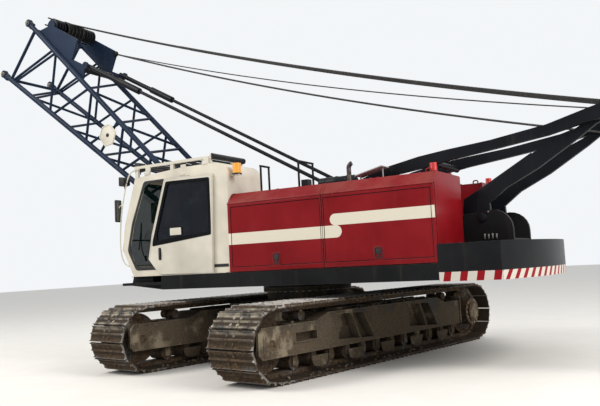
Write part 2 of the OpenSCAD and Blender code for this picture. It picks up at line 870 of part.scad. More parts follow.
module gantry_struts() {
    top = [head_x + 175, head_z - 95];
    color(dark) for (side = [-1, 1])
        difference() {
            slab(side * strut_y, strut_t)
                bent_bar([for (row = strut_rows) way_row(strut_pin, top, row)]);
            bar_y(strut_pin[0], side * strut_y, strut_pin[1], pin_r + seat, strut_t + 2);
        }
}

// Sheaves on one hub, along an axle
module sheave_set(x, z, count) {
    pitch = 2 * rope_pitch;
    color(bare) difference() {
        union() {
            for (i = [0 : count - 1])
                bar_y(x, (i - (count - 1) / 2) * pitch, z, sheave_r, pitch * 0.7);
            bar_y(x, 0, z, head_axle_r + 25, count * pitch);
        }
        bar_y(x, 0, z, head_axle_r + 0.1, (count + 1) * pitch);
    }
}

// Boom pieces are drawn along x from the foot pin and then raised
module raised() {
    translate([foot_x, 0, foot_z]) rotate([0, -boom_angle, 0]) children();
}

function chord_h(s) = foot_half + (end_half - foot_half) * s / boom_l;

// Place in side view of a point given along the boom and above its axis
function off_boom(s, h) = [
    foot_x + s * cos(boom_angle) - h * sin(boom_angle),
    foot_z + s * sin(boom_angle) + h * cos(boom_angle)
];
bridle_s = boom_l - bracket_back;
bridle_h = chord_h(bridle_s) + bracket_rise;
bridle = off_boom(bridle_s, bridle_h);
stop_s = boom_l - stop_back;
stop_h = chord_h(stop_s) + stop_rise;
stop_top = off_boom(stop_s, stop_h);
rope_angle = atan2(bridle[1] - head_z, bridle[0] - head_x);

// Rope parts side by side over a sheave set, from its axle towards the other one
module rope_set(x, z, count, start) {
    color(bare)
        translate([x, 0, z])
            rotate([0, -rope_angle, 0])
                for (i = [0 : count - 1])
                    translate([
                        start, (i - (count - 1) / 2) * 2 * rope_pitch, sheave_r + rope_d / 2 + seat
                    ])
                        rotate([0, 90, 0]) cylinder(h = rope_half_l, d = rope_d, $fn = 16);
}

// Boom

end_frame_s = boom_l - 250;

// Lacing stations from the open end back to the foot plates, closer where the boom is shallow
function stations(s) =
    s - lace_pitch * chord_h(s) < foot_plate_l + 60 ? [s]
    : concat([s], stations(s - lace_pitch * chord_h(s)));

// Lacing tube that stops just inside the two chords which it joins
module lace(p, q, d) {
    v = (q - p) / norm(q - p);
    cut = chord_d / 2 - 18;
    strut(p + cut * v, q - cut * v, d);
}

module boom() {
    at = stations(end_frame_s);
    color(steel_blue) raised() {
        for (y = [-chord_y, chord_y], h = [-1, 1])
            strut([400, y, h * chord_h(400)], [boom_l - 100, y, h * chord_h(boom_l - 100)], chord_d);
        // foot plates
        for (y = [-chord_y, chord_y])
            difference() {
                plate(y, foot_plate_t, [
                    [-90, -60], [0, -110], [foot_plate_l, -chord_h(foot_plate_l)],
                    [foot_plate_l, chord_h(foot_plate_l)], [0, 110], [-90, 60]
                ]);
                bar_y(0, y, 0, foot_pin_r, foot_plate_t + 4);
            }
        strut([foot_plate_l - 60, -chord_y, 0], [foot_plate_l - 60, chord_y, 0], chord_d);
        for (i = [0 : len(at) - 2]) {
            s0 = at[i] - lace_d;
            s1 = at[i + 1] + lace_d;
            up = i % 2 == 0 ? -1 : 1;
            for (y = [-chord_y, chord_y])
                lace([s0, y, up * chord_h(s0)], [s1, y, -up * chord_h(s1)], lace_d);
            for (h = [-1, 1])
                lace([s0, up * chord_y, h * chord_h(s0)], [s1, -up * chord_y, h * chord_h(s1)], lace_d);
        }
        // end frame
        for (y = [-chord_y, chord_y])
            lace([end_frame_s, y, -chord_h(end_frame_s)], [end_frame_s, y, chord_h(end_frame_s)], 60);
        for (h = [-1, 1])
            lace([end_frame_s, -chord_y, h * chord_h(end_frame_s)],
                [end_frame_s, chord_y, h * chord_h(end_frame_s)], 60);
        // connecting lugs
        for (y = [-chord_y, chord_y], h = [-1, 1])
            translate([boom_l, y, h * chord_h(boom_l)])
                difference() {
                    union() {
                        bar_y(0, 0, 0, 75, lug_t);
                        translate([-75, 0, 0]) cube([150, lug_t, 120], center = true);
                    }
                    bar_y(0, 0, 0, lug_hole_r, lug_t + 4);
                }
    }
}

bracket_t = 40;
// The plates stand just above the cross lacing, on the inner side of the chords
bracket_low = lace_d / 2 + seat;
bracket_y = chord_y - sqrt((chord_d / 2) ^ 2 - bracket_low ^ 2) - bracket_t / 2 - seat;

// Plates on the upper chords that carry the bracket sheaves and the backstops
module boom_bracket() {
    base = function (s) chord_h(s) + bracket_low;
    color(steel_blue) raised() {
        for (side = [-1, 1])
            difference() {
                slab(side * bracket_y, bracket_t) {
                    polygon([
                        [bridle_s + 230, base(bridle_s + 230)], [bridle_s, bridle_h],
                        [bridle_s - 820, base(bridle_s - 820) + 1.55 * bracket_rise],
                        [bridle_s - 930, base(bridle_s - 930) + 0.3 * bracket_rise],
                        [stop_s, stop_h], [stop_s - 120, base(stop_s - 120)]
                    ]);
                    translate([bridle_s, bridle_h]) circle(95, $fn = 48);
                    translate([stop_s, stop_h]) circle(65, $fn = 48);
                }
                bar_y(stop_s, side * bracket_y, stop_h, trunnion_r + seat, bracket_t + 2);
            }
        bar_y(bridle_s, 0, bridle_h, head_axle_r, 2 * bracket_y);
    }
}

// Backstops

tube_r = 42;
rod_r = 29;
stop_fall = stop_top - [stop_foot_x, stop_foot_z];
stop_angle = atan2(stop_fall[1], stop_fall[0]);

// Backstops are drawn along x from the boom pin down to the posts
module hung() {
    translate([stop_top[0], 0, stop_top[1]]) rotate([0, 180 - stop_angle, 0]) children();
}

module rod_x(from, to, r) {
    translate([from, 0, 0]) rotate([0, 90, 0]) cylinder(h = to - from, r = r, $fn = 48);
}

module backstop_tubes() {
    color(dark) hung() for (side = [-1, 1])
        translate([0, side * stop_y, 0])
            difference() {
                union() {
                    rod_x(-60, stop_tube_l, tube_r);
                    rod_x(stop_tube_l - 580, stop_tube_l, tube_r + 16);
                    rotate([-90 * side, 0, 0])
                        cylinder(h = bracket_y + bracket_t / 2 - stop_y, r = trunnion_r, $fn = 48);
                }
                rod_x(-61, stop_tube_l - 61, tube_r - 8);
                rod_x(-61, stop_tube_l + 1, rod_r + seat);
            }
}

module backstop_rods() {
    color(dark) hung() for (side = [-1, 1])
        translate([0, side * stop_y, 0]) rod_x(stop_tube_l - 450, norm(stop_fall), rod_r);
}

// Winches

drum_z = deck_high + 470;
// Places along x of the front, rear and boom hoist drums
drum_x = [-120, -1250, -1950];

// Winch drum with its flanges and shaft
module drum(x, r) {
    color(bare) {
        bar_y(x, 0, drum_z, r, drum_l - 20);
        for (side = [-1, 1])
            bar_y(x, side * (drum_l / 2 - 15), drum_z, r + flange_rise, 30);
        bar_y(x, 0, drum_z, pin_r, 2 * post_y);
    }
}

module winch_frames() {
    color(dark) for (x = drum_x, side = [-1, 1])
        difference() {
            plate(side * post_y, post_t, [
                [x - 140, deck_high + seat], [x + 140, deck_high + seat], [x + 110, drum_z + 60],
                [x + 50, drum_z + 110], [x - 50, drum_z + 110], [x - 110, drum_z + 60]
            ]);
            bar_y(x, side * post_y, drum_z, pin_r + 0.1, post_t + 2);
        }
}

// Roof fittings

roof_low = house_high + seat;

// Grab rails on the left house roof: place along x, then the places of their legs along y
rail_places = [[-140, 1190, 1400], [-760, 1000, 1400]];
rail_d = 30;
rail_h = 360;

module rails() {
    color(dark) for (r = rail_places) {
        for (y = [r[1], r[2]])
            translate([r[0], y, roof_low]) cylinder(h = rail_h, d = rail_d, $fn = 24);
        strut([r[0], r[1] - rail_d / 2, roof_low + rail_h], [r[0], r[2] + rail_d / 2, roof_low + rail_h], rail_d);
    }
}

module exhaust() {
    pipe_r = 32;
    bend_r = 70;
    straight = 230;
    color(bare) translate([-1330, 1000, roof_low]) {
        cylinder(h = straight, r = pipe_r, $fn = 32);
        translate([-bend_r, 0, straight]) rotate([90, 0, 0])
            rotate_extrude(angle = 70, $fn = 48) translate([bend_r, 0]) circle(r = pipe_r, $fn = 32);
    }
}

// Beacon on its bracket behind the cab's upper corner, and the two rear lamps
module lamps() {
    color(dark) block([cab_rear - 170, cab_rear - seat], [cab_outer_y - 150, cab_outer_y - 60],
        [cab_top - 210, cab_top - 200]);
    color("orange") translate([cab_rear - 105, cab_outer_y - 105, cab_top - 201])
        cylinder(h = 165, r = 60, $fn = 32);
    color("red") for (side = [-1, 1])
        translate([house_rear + 100, side * (side_y - 345), roof_low]) cylinder(h = 130, r = 45, $fn = 32);
}

carbody();
color(mud) track(1);  // left_track
color(mud) side_frame(1);  // left_side_frame
color(bare) rollers(1);  // left_rollers
color(mud) idler(1);  // left_idler
color(mud) sprocket(1);  // left_sprocket
color(mud) track(-1);  // right_track
color(mud) side_frame(-1);  // right_side_frame
color(bare) rollers(-1);  // right_rollers
color(mud) idler(-1);  // right_idler
color(mud) sprocket(-1);  // right_sprocket
deck();
color(red) house(1);  // left_house
color(red) house(-1);  // right_house
color(red) house_door(1, door_split_x, house_front);  // left_front_door
color(red) house_door(1, house_rear, door_split_x);  // left_rear_door
color(red) house_door(-1, door_split_x, house_front);  // right_front_door
color(red) house_door(-1, house_rear, door_split_x);  // right_rear_door
engine();
oil_tank();
counterweight();
cab_shell();
cab_glass();
cab_door();
cab_door_glass();
cab_seat();
roof_guard();
gantry_mast();
gantry_struts();
sheave_set(head_x, head_z, 6);  // gantry_sheaves
rope_set(head_x, head_z, 6, 0);  // reeving_rear
rope_set(bridle[0], bridle[1], 5, -rope_half_l);  // reeving_front
boom();
boom_bracket();
sheave_set(bridle[0], bridle[1], 5);  // bracket_sheaves
backstop_tubes();
backstop_rods();
drum(drum_x[0], drum_r);  // front_drum
drum(drum_x[1], drum_r);  // rear_drum
drum(drum_x[2], hoist_drum_r);  // boom_hoist_drum
winch_frames();
rails();
exhaust();
lamps();
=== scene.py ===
# %% [markdown]
# # A crawler crane, dressed in Blender
# The solid parts of the crane come packed as one fixed frame. This script gives each of them a
# finish, and adds the pieces that are too fine for the solids: bolts, seals, levers, rope turns,
# handrails and lamps. Everything is in metres: x runs forward along the boom, y to the cab side,
# z up, and the origin is on the ground under the slewing axis.

# %% Load the frame
import json
import math
import random
import bmesh
import bpy
from mathutils import Matrix, Vector


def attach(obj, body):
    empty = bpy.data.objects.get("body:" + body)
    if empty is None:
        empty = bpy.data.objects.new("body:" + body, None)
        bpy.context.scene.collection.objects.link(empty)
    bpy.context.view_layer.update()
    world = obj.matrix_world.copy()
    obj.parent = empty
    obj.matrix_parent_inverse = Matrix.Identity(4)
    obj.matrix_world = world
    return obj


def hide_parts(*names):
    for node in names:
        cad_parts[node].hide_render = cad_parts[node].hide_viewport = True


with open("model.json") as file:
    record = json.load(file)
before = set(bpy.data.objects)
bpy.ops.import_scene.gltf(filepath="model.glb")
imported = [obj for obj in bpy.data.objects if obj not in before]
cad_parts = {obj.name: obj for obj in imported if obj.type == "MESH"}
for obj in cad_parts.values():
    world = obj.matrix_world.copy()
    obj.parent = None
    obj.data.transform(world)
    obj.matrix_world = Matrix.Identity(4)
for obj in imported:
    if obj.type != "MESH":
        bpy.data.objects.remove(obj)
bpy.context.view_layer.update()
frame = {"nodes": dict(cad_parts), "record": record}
nodes = frame["nodes"]

# %% [markdown]
# ## Sizes that the pieces share
# The solids were drawn from named sizes. The same names are kept here, so that a bolt row or a
# seal follows the plate that carries it.

# %% Shared sizes
SWING = math.radians(79)
TRACK_HALF, END_R, GAUGE = 2.43, 0.47, 2.5
CHAIN_R, SHOE_T, SHOES = 0.43, 0.016, 54
SIDE_Y = 1.595
HOUSE_FRONT, HOUSE_REAR = 0.332, -2.734
HOUSE_INNER, HOUSE_HIGH = 0.52, 2.454
DOOR_SPLIT = -1.19
EAVE_Z, EAVE_IN = 2.309, 0.136
WEIGHT_LOW, TAIL_R = 1.11, 3.84
CAB_TOP = 2.93
FOOT = Vector((1.0, 0, 1.6))
BOOM_ANGLE = math.radians(40.6)
BOOM_L, CHORD_Y = 6.7, 0.57
HEAD = Vector((-4.64, 0, 3.10))
print("boom foot", tuple(FOOT), "gantry head", tuple(HEAD))


def boom_point(along, y, height):
    """A place given along the boom, across it and above its axis."""
    c, s = math.cos(BOOM_ANGLE), math.sin(BOOM_ANGLE)
    return Vector((FOOT.x + along * c - height * s, y, FOOT.z + along * s + height * c))


def crawler_point(side, u, v, z):
    """A place on a crawler: u forward, v outward from its middle, z up."""
    across = side * (GAUGE / 2 + v)
    c, s = math.cos(SWING), math.sin(SWING)
    return Vector((u * c - across * s, u * s + across * c, z))


# %% [markdown]
# ## Camera
# The photograph's viewpoint was solved from the machine's straight edges: it stands about ten
# metres off the cab side at eye height, looks back towards the tail and leans a little.

# %% Camera
YAW, PITCH, ROLL = -1.0435, 0.086, -0.0506
CAMERA_PLACE = (-5.6117, 9.7376, 1.4012)
FOCAL_PX, PICTURE_PX, SENSOR_MM = 707.97, 600, 36
look = Vector((math.cos(YAW) * math.cos(PITCH), math.sin(YAW) * math.cos(PITCH), math.sin(PITCH)))
right = Vector((math.sin(YAW), -math.cos(YAW), 0))
over = right.cross(look)
right_r = math.cos(ROLL) * right + math.sin(ROLL) * over
over_r = -math.sin(ROLL) * right + math.cos(ROLL) * over
camera = bpy.data.objects.new("camera", bpy.data.cameras.new("camera"))
bpy.context.scene.collection.objects.link(camera)
camera.data.sensor_width = SENSOR_MM
camera.data.lens = FOCAL_PX * SENSOR_MM / PICTURE_PX
camera.data.clip_end = 200
turned = Matrix((right_r, over_r, -look)).transposed().to_4x4()
camera.matrix_world = Matrix.Translation(CAMERA_PLACE) @ turned
bpy.context.scene.camera = camera
print("lens", round(camera.data.lens, 2), "mm")

# %% [markdown]
# ## Light, backdrop and floor
# A product picture needs soft light at a plain level, so that a colour renders about as it is
# written. A pale world gives most of it. One large lamp high on the left gives the planes their
# difference, and a second one behind draws the edges. The backdrop is white only for the camera,
# for mirrors and for glass, so it adds no light to the machine.

# %% World and lamps
scene = bpy.context.scene
scene.view_settings.view_transform = "Standard"
world = bpy.data.worlds.new("studio")
scene.world = world
world.use_nodes = True
sky = world.node_tree
sky.nodes.clear()
light_path = sky.nodes.new("ShaderNodeLightPath")
seen = light_path.outputs["Is Camera Ray"]
for ray in ("Is Glossy Ray", "Is Transmission Ray"):
    either = sky.nodes.new("ShaderNodeMath")
    either.operation = "MAXIMUM"
    sky.links.new(seen, either.inputs[0])
    sky.links.new(light_path.outputs[ray], either.inputs[1])
    seen = either.outputs[0]
choose = sky.nodes.new("ShaderNodeMixShader")
sky.links.new(seen, choose.inputs[0])
FILL, BACKDROP = ((0.93, 0.96, 1.0, 1), 0.72), ((0.90, 0.92, 0.94, 1), 1.0)
for place, (colour, strength) in enumerate((FILL, BACKDROP), 1):
    light = sky.nodes.new("ShaderNodeBackground")
    light.inputs["Color"].default_value = colour
    light.inputs["Strength"].default_value = strength
    sky.links.new(light.outputs[0], choose.inputs[place])
sky_out = sky.nodes.new("ShaderNodeOutputWorld")
sky.links.new(choose.outputs[0], sky_out.inputs[0])


def lamp(name, place, target, size, power, colour):
    """A square soft lamp that looks at a target."""
    made = bpy.data.objects.new(name, bpy.data.lights.new(name, "AREA"))
    scene.collection.objects.link(made)
    made.data.size = size
    made.data.energy = power
    made.data.color = colour
    made.location = place
    made.rotation_euler = (Vector(target) - Vector(place)).to_track_quat("-Z", "Y").to_euler()
    return made


lamp("key", (9, 9, 13), (-0.5, 0, 1.5), 6, 1650, (1.0, 0.97, 0.92))
lamp("rim", (-13, 2, 9), (-1, 0, 1.5), 7, 1300, (1.0, 0.97, 0.93))
print("lamps: key and rim")

# %% [markdown]
# ## Shader maths
# A finish is mostly small sums: how far is this spot from an edge, how much dust lies here. A
# socket wrapped in a small class lets those sums be written as plain Python.


# %% Socket class
class Wire:
    """A shader socket that can be used in sums like a number."""

    def __init__(self, finish, socket):
        self.finish = finish
        self.socket = socket

    def math(self, operation, *others):
        """This socket and others through one Math node."""
        inputs = dict(enumerate((self, *others)))
        return self.finish.node("ShaderNodeMath", {"operation": operation}, inputs)

    def __add__(self, other):
        return self.math("ADD", other)

    __radd__ = __add__

    def __sub__(self, other):
        return self.math("SUBTRACT", other)

    def __rsub__(self, other):
        return self.finish.node("ShaderNodeMath", {"operation": "SUBTRACT"}, {0: other, 1: self})

    def __mul__(self, other):
        return self.math("MULTIPLY", other)

    __rmul__ = __mul__

    def __truediv__(self, other):
        return self.math("DIVIDE", other)

    def __abs__(self):
        return self.math("ABSOLUTE")

    def __or__(self, other):
        return self.math("MAXIMUM", other)

    def ramp(self, low, high):
        """Nought below low, one above high and smooth between them; it falls if low is higher."""
        inputs = {"Value": self, "From Min": min(low, high), "From Max": max(low, high)}
        if low > high:
            inputs |= {"To Min": 1.0, "To Max": 0.0}
        return self.finish.node("ShaderNodeMapRange", {"interpolation_type": "SMOOTHSTEP"}, inputs)


print("a socket can be added, subtracted, multiplied, divided, compared and ramped")

# %% [markdown]
# A finish is one material. Its Principled shader stays the same for all. What differs is set once
# on the shader's own sockets, and what varies over a surface comes from the sums.


# %% Finish class
class Finish:
    """One material with its Principled shader, built from sums, and the slot it belongs to."""

    made = {}

    def __init__(self, name, slot=None, **fixed):
        self.slot = slot or name
        self.material = bpy.data.materials.new(name)
        self.material.use_nodes = True
        self.tree = self.material.node_tree
        self.shader = self.tree.nodes["Principled BSDF"]
        for socket, value in fixed.items():
            self.shader.inputs[socket.replace("_", " ")].default_value = value
        coordinates = self.tree.nodes.new("ShaderNodeTexCoord")
        self.place = Wire(self, coordinates.outputs["Object"])
        self.facing = Wire(self, coordinates.outputs["Normal"])
        Finish.made[name] = self

    def node(self, kind, settings=None, inputs=None, out=0):
        """Any node: its settings first, then the values or links of its sockets."""
        made = self.tree.nodes.new(kind)
        for name, value in (settings or {}).items():
            setattr(made, name, value)
        for key, value in (inputs or {}).items():
            if isinstance(value, Wire):
                self.tree.links.new(value.socket, made.inputs[key])
            else:
                made.inputs[key].default_value = value
        return Wire(self, made.outputs[out])

    def feed(self, socket, value):
        """A value or a link into the shader."""
        if isinstance(value, Wire):
            self.tree.links.new(value.socket, self.shader.inputs[socket])
        else:
            self.shader.inputs[socket].default_value = value

    def axis(self, index, of=None):
        """One part of a vector, the place if none is given."""
        return self.node("ShaderNodeSeparateXYZ", None, {0: of or self.place}, index)

    def mix(self, share, first, second):
        """Two colours mixed by a share."""
        return self.node("ShaderNodeMix", {"data_type": "RGBA"}, {0: share, 6: first, 7: second}, 2)

    def coats(self, shade, *layers):
        """A colour with others laid over it in turn, each by its own share."""
        for share, colour in layers:
            shade = self.mix(share, shade, colour)
        return shade

    def recolour(self, share, colour):
        """Another colour over what the shader has by now."""
        present = Wire(self, self.shader.inputs["Base Color"].links[0].from_socket)
        self.feed("Base Color", self.mix(share, present, colour))

    def noise(self, scale, detail=4.0, rough=0.55, stretch=None):
        """Noise of about one over scale metres, stretched if asked."""
        at = self.place
        if stretch:
            at = self.node("ShaderNodeMapping", None, {"Vector": at, "Scale": stretch})
        inputs = {"Vector": at, "Scale": scale, "Detail": detail, "Roughness": rough}
        return self.node("ShaderNodeTexNoise", None, inputs)

    def surface(self, colour, roughness, relief=None, metallic=None):
        """The usual links; relief is a height in nought to one, and its size in metres."""
        self.feed("Base Color", colour)
        self.feed("Roughness", roughness)
        if metallic is not None:
            self.feed("Metallic", metallic)
        if relief:
            inputs = {"Height": relief[0], "Distance": relief[1], "Strength": 1.0}
            self.feed("Normal", self.node("ShaderNodeBump", None, inputs))
        return self

    def edge(self, radius):
        """One at the solid's outer edges, where paint rubs off first."""
        rounded = self.node("ShaderNodeBevel", {"samples": 4}, {"Radius": radius})
        flat = self.node("ShaderNodeNewGeometry", None, None, "Normal")
        dot = {"operation": "DOT_PRODUCT"}
        same = self.node("ShaderNodeVectorMath", dot, {0: rounded, 1: flat}, "Value")
        return (1 - same).ramp(0.02, 0.25)

    def dust_on(self, scale=3.0):
        """One where dust settles: on faces that look up, in patches."""
        upward = self.axis(2, self.facing).ramp(0.35, 0.95)
        return upward * self.noise(scale, 6.0, 0.65).ramp(0.35, 0.7)


def srgb(red, green, blue):
    """A colour given as it looks on screen, 0 to 255, as Blender's linear values."""
    def line(value):
        value = value / 255
        return value / 12.92 if value <= 0.04045 else ((value + 0.055) / 1.055) ** 2.4
    return (line(red), line(green), line(blue), 1)


DUST = srgb(168, 150, 128)
print("shader classes ready")

# %% [markdown]
# ## Paint on the upper works
# The machine paint is a two-layer gloss. In use it dulls: fine dust lies on the faces that look
# up, the colour drifts a little from panel to panel, and edges chip to primer. One function holds
# that story, and each colour gets its own amounts.


# %% Painted metal
def painted(name, colour, roughness, dust, chips, coat=0.0, streaks=0.12):
    """Gloss paint with drift, dust on top faces, streaks and chipped edges."""
    finish = Finish(name, Coat_Roughness=0.12, IOR=1.5, Specular_IOR_Level=0.10)
    drift = finish.noise(1.3, 3.0)
    fine = finish.noise(38.0, 5.0, 0.6)
    runs = finish.noise(7.0, 4.0, 0.6, (1.0, 1.0, 0.12))
    darker = tuple(c * 0.78 for c in colour[:3]) + (1,)
    lighter = tuple(min(1, c * 1.12 + 0.006) for c in colour[:3]) + (1,)
    laid = finish.dust_on(2.5) * dust
    worn = finish.edge(0.012) * fine.ramp(0.42, 0.62) * chips
    drifted = finish.mix(drift.ramp(0.25, 0.75), darker, lighter)
    finish.colour = finish.coats(drifted, (runs.ramp(0.55, 0.8) * streaks, DUST), (laid, DUST))
    shade = finish.mix(worn, finish.colour, srgb(120, 116, 110))
    finish.feed("Coat Weight", (1 - laid) * coat)
    relief = (fine + finish.noise(240.0, 2.0) * 0.4, 0.0006)
    return finish.surface(shade, roughness + fine * 0.12 + laid * 0.35, relief)


DECK_PAINT = painted("deck_dark", srgb(20, 21, 23), 0.45, 0.4, 0.5, 0.0, 0.06)
CREAM_PAINT = painted("cab_cream", srgb(212, 206, 192), 0.30, 0.3, 0.25, 0.2, 0.08)
BOOM_PAINT = painted("boom_blue", srgb(14, 33, 56), 0.40, 0.10, 0.4, 0.02, 0.04)
GANTRY_PAINT = painted("gantry_black", srgb(12, 15, 22), 0.40, 0.10, 0.12, 0.02, 0.03)
MACHINE_PAINT = painted("machinery", srgb(70, 72, 74), 0.45, 0.6, 0.5)
print("paints:", len(Finish.made))

# %% [markdown]
# The houses carry two off-white bands with round ends on each side. A band is the set of spots
# nearer to a line than half its height, so the shader measures that distance from Object
# coordinates and needs no picture.


# %% House paint with its bands
LOWER_BAND = (-1.47, 0.60, 1.72, 1.88)
UPPER_BAND = (-2.95, -1.305, 1.88, 2.03)


def band(finish, x_from, x_to, z_from, z_to):
    """One inside a level band with round ends, given its ends and its edges."""
    half = (z_to - z_from) / 2
    middle = (x_from + x_to) / 2
    reach = (x_to - x_from) / 2 - half
    past = (abs(finish.axis(0) - middle) - reach) | 0.0
    off = finish.axis(2) - (z_from + z_to) / 2
    distance = (past * past + off * off).math("SQRT")
    return (half - distance).ramp(-0.002, 0.002)


def house_paint():
    """Deep red gloss with two off-white bands on the outer sides."""
    finish = painted("house_red", srgb(126, 4, 15), 0.26, 0.18, 0.3, 0.08, 0.03)
    outer = abs(finish.axis(1)).ramp(1.575, 1.585)
    lower, upper = band(finish, *LOWER_BAND), band(finish, *UPPER_BAND)
    finish.recolour((lower | upper) * outer, srgb(222, 214, 196))
    return finish


print("bands from, to, lower and upper edge:", LOWER_BAND, UPPER_BAND)

# %% [markdown]
# The counterweight's warning band is a sawtooth: a place along the weight's edge is divided by
# the width of a pair of stripes, and only the fraction counts. Behind, the place is an angle
# around the slewing axis times the tail's radius. At the sides it is x, with a slight lean.


# %% Counterweight paint
PAIR_BEHIND, PAIR_BESIDE, STRIPE_START = 0.17, 0.20, 20.35
STRIPE_TOP = WEIGHT_LOW + 0.11


def weight_paint():
    """Glossy dark grey with a red and white warning band: upright at the sides, slanted behind."""
    finish = painted("weight_dark", srgb(17, 18, 21), 0.30, 0.14, 0.3, 0.06, 0.03)
    x, y, z = (finish.axis(i) for i in range(3))
    height = z - WEIGHT_LOW
    flat = abs(y).ramp(1.585, 1.592)
    behind = (y.math("ARCTAN2", x * -1.0) * TAIL_R + height * 0.7) / PAIR_BEHIND
    beside = (x + height * 0.2) / PAIR_BESIDE + STRIPE_START
    slant = (behind + flat * (beside - behind)).math("FRACT")
    stripe = finish.mix(slant.ramp(0.43, 0.45), srgb(140, 16, 24), srgb(204, 199, 188))
    low = z.ramp(STRIPE_TOP + 0.002, STRIPE_TOP - 0.002)
    outside = abs(finish.axis(2, finish.facing)).ramp(0.5, 0.3) * x.ramp(-2.736, -2.738)
    finish.recolour(low * outside, stripe)
    return finish


HOUSE_PAINT = house_paint()
weight_paint()
print("house and counterweight paint ready")

# %% [markdown]
# ## Crawler steel under dried mud
# The shoes are bare manganese steel: brown rust and dried mud on the flats, blue-grey where they
# rub, and bright along the ridges and the outer ends that meet the ground. The worn ends are
# painted light: bright mostly at the idler end and dim elsewhere. The inner faces carry painted
# shade over their mud, the tops of the rounded ends a painted highlight with dried dust, and the
# shoes turn darker brown towards the bottom. The distance from the loop's centre line says how
# near a spot is to a ridge's tip.


# %% Crawler finishes
def crawler_steel(name, muddy, worn_from, worn_to):
    """Rusty worn steel with mud, painted shade and painted light; bright between two distances from the
    loop's middle line.
    """
    finish = Finish(name, "crawler_steel", IOR=1.6, Specular_IOR_Level=0.15)
    c, s = math.cos(SWING), math.sin(SWING)
    x, y, z = (finish.axis(i) for i in range(3))
    u = x * c + y * s
    across = abs(y * c - x * s) - GAUGE / 2
    past = (abs(u) - TRACK_HALF) | 0.0
    off = z - END_R
    out = (past * past + off * off).math("SQRT")
    grain = finish.noise(30.0, 6.0, 0.65)
    patch = finish.noise(3.2, 5.0, 0.6)
    rust = finish.mix(grain.ramp(0.3, 0.7), srgb(44, 35, 27), srgb(92, 74, 56))
    steel = finish.mix(grain.ramp(0.35, 0.65), srgb(66, 70, 75), srgb(112, 115, 117))
    soil = finish.mix(grain.ramp(0.3, 0.7), srgb(54, 43, 33), srgb(120, 100, 76))
    rounding = past.ramp(0.02, 0.15) * z.ramp(0.50, 0.75)
    clean = patch.ramp(0.52, 0.72) * 0.7 | (rounding * grain.ramp(0.25, 0.5) * 0.75)
    # painted shade: the inner faces of the shoes get mud, and a darker coat below that stands for the
    # shade inside the loop
    inner = out.ramp(0.438, 0.433) * out.ramp(0.40, 0.41)
    mud = ((patch * 0.6 + finish.noise(14.0, 5.0) * 0.4).ramp(0.5, 0.36) * muddy) | inner
    # pale on the tops of the rounded ends: dried dust together with a painted highlight where light
    # falls
    dust_and_highlight = rounding * finish.noise(7.0, 4.0, 0.6).ramp(0.40, 0.60) * 0.6
    # darker brown patches towards the bottom
    darker_low = finish.noise(4.3, 4.0, 0.6).ramp(0.50, 0.66) * z.ramp(0.75, 0.45)
    tips = out.ramp(worn_from, worn_to) * grain.ramp(0.3, 0.5)
    ends = abs(across).ramp(0.358, 0.376) * finish.noise(9.0, 3.0).ramp(0.4, 0.6)
    # painted light: the worn ends are drawn bright mostly at the idler end, where light falls, and dim
    # elsewhere
    lit_idler_end = u.ramp(2.0, 2.4) * 0.8 + 0.1
    bright = (tips | (ends * lit_idler_end)) * (1 - mud * 0.6)
    # the coat srgb(44, 37, 30) on the inner faces is painted shade, not mud
    shade = finish.coats(
        rust, (clean, steel), (mud, soil), (inner * 0.85, srgb(44, 37, 30)),
        (dust_and_highlight * (1 - inner), srgb(182, 170, 148)), (darker_low * 0.5, srgb(56, 40, 28)),
        (bright * 0.85, srgb(186, 184, 180)))
    roughness = 0.78 - bright * 0.42 - clean * 0.2 + mud * 0.15
    metallic = (clean | bright) * (1 - mud) * 0.8
    return finish.surface(shade, roughness, (grain * 0.6 + mud, 0.004), metallic)


SHOE_STEEL = crawler_steel("shoe_steel", 0.9, 0.462, 0.469)
WHEEL_STEEL = crawler_steel("wheel_steel", 0.8, 0.345, 0.354)


def muddy_frame():
    """Grey paint that shows only in places between layers of dried mud."""
    finish = Finish("frame_mud", IOR=1.5, Specular_IOR_Level=0.12)
    x, y, z = (finish.axis(i) for i in range(3))
    ends = abs(x * math.cos(SWING) + y * math.sin(SWING)).ramp(1.85, 2.15)
    grain = finish.noise(60.0, 6.0, 0.6)
    patch = finish.noise(1.7, 5.0, 0.5)
    runs = finish.noise(9.0, 4.0, 0.5, (1.0, 1.0, 0.18))
    paint = finish.mix(finish.noise(5.0), srgb(32, 32, 34), srgb(56, 54, 52))
    soil = finish.mix(grain.ramp(0.3, 0.7), srgb(66, 58, 48), srgb(98, 86, 71))
    upward = finish.axis(2, finish.facing).ramp(0.3, 0.9)
    low = z.ramp(0.75, 0.35)
    cover = (patch * 0.6 + runs * 0.3 + grain * 0.1 + low * 0.22 + upward * 0.4).ramp(0.38, 0.60)
    pale = (finish.noise(3.0, 5.0, 0.5).ramp(0.56, 0.70) * cover) | (finish.edge(0.012) * 0.7)
    crust = ends * finish.noise(4.0, 5.0, 0.6).ramp(0.46, 0.62) * 0.75
    shade = finish.coats(paint, (cover, soil), (crust, srgb(144, 132, 112)),
                         (pale * 0.6, srgb(158, 144, 122)))
    return finish.surface(shade, 0.5 + cover * 0.42, (grain * 0.5 + cover + patch, 0.006))


FRAME_MUD = muddy_frame()
print("crawler finishes ready")

# %% [markdown]
# ## Metal, rope, glass, rubber and lamp covers
# The rest are small surfaces that catch the eye: machined steel under a film of grease, rope whose
# strands wind around it, tinted glass, black vinyl, ribbed lamp covers, and steel that has been hot.


# %% Machined steel and rope
def bare_steel():
    """Machined steel with a film of grease and dust."""
    finish = Finish("bare_steel", IOR=2.0)
    fine = finish.noise(60.0, 4.0)
    grease = finish.noise(6.0, 5.0, 0.6).ramp(0.42, 0.66)
    shade = finish.mix(fine, srgb(116, 114, 110), srgb(150, 148, 144))
    shade = finish.mix(grease, shade, srgb(58, 50, 42))
    roughness = 0.34 + fine * 0.15 + grease * 0.25
    return finish.surface(shade, roughness, (fine, 0.0008), 0.9 - grease * 0.6)


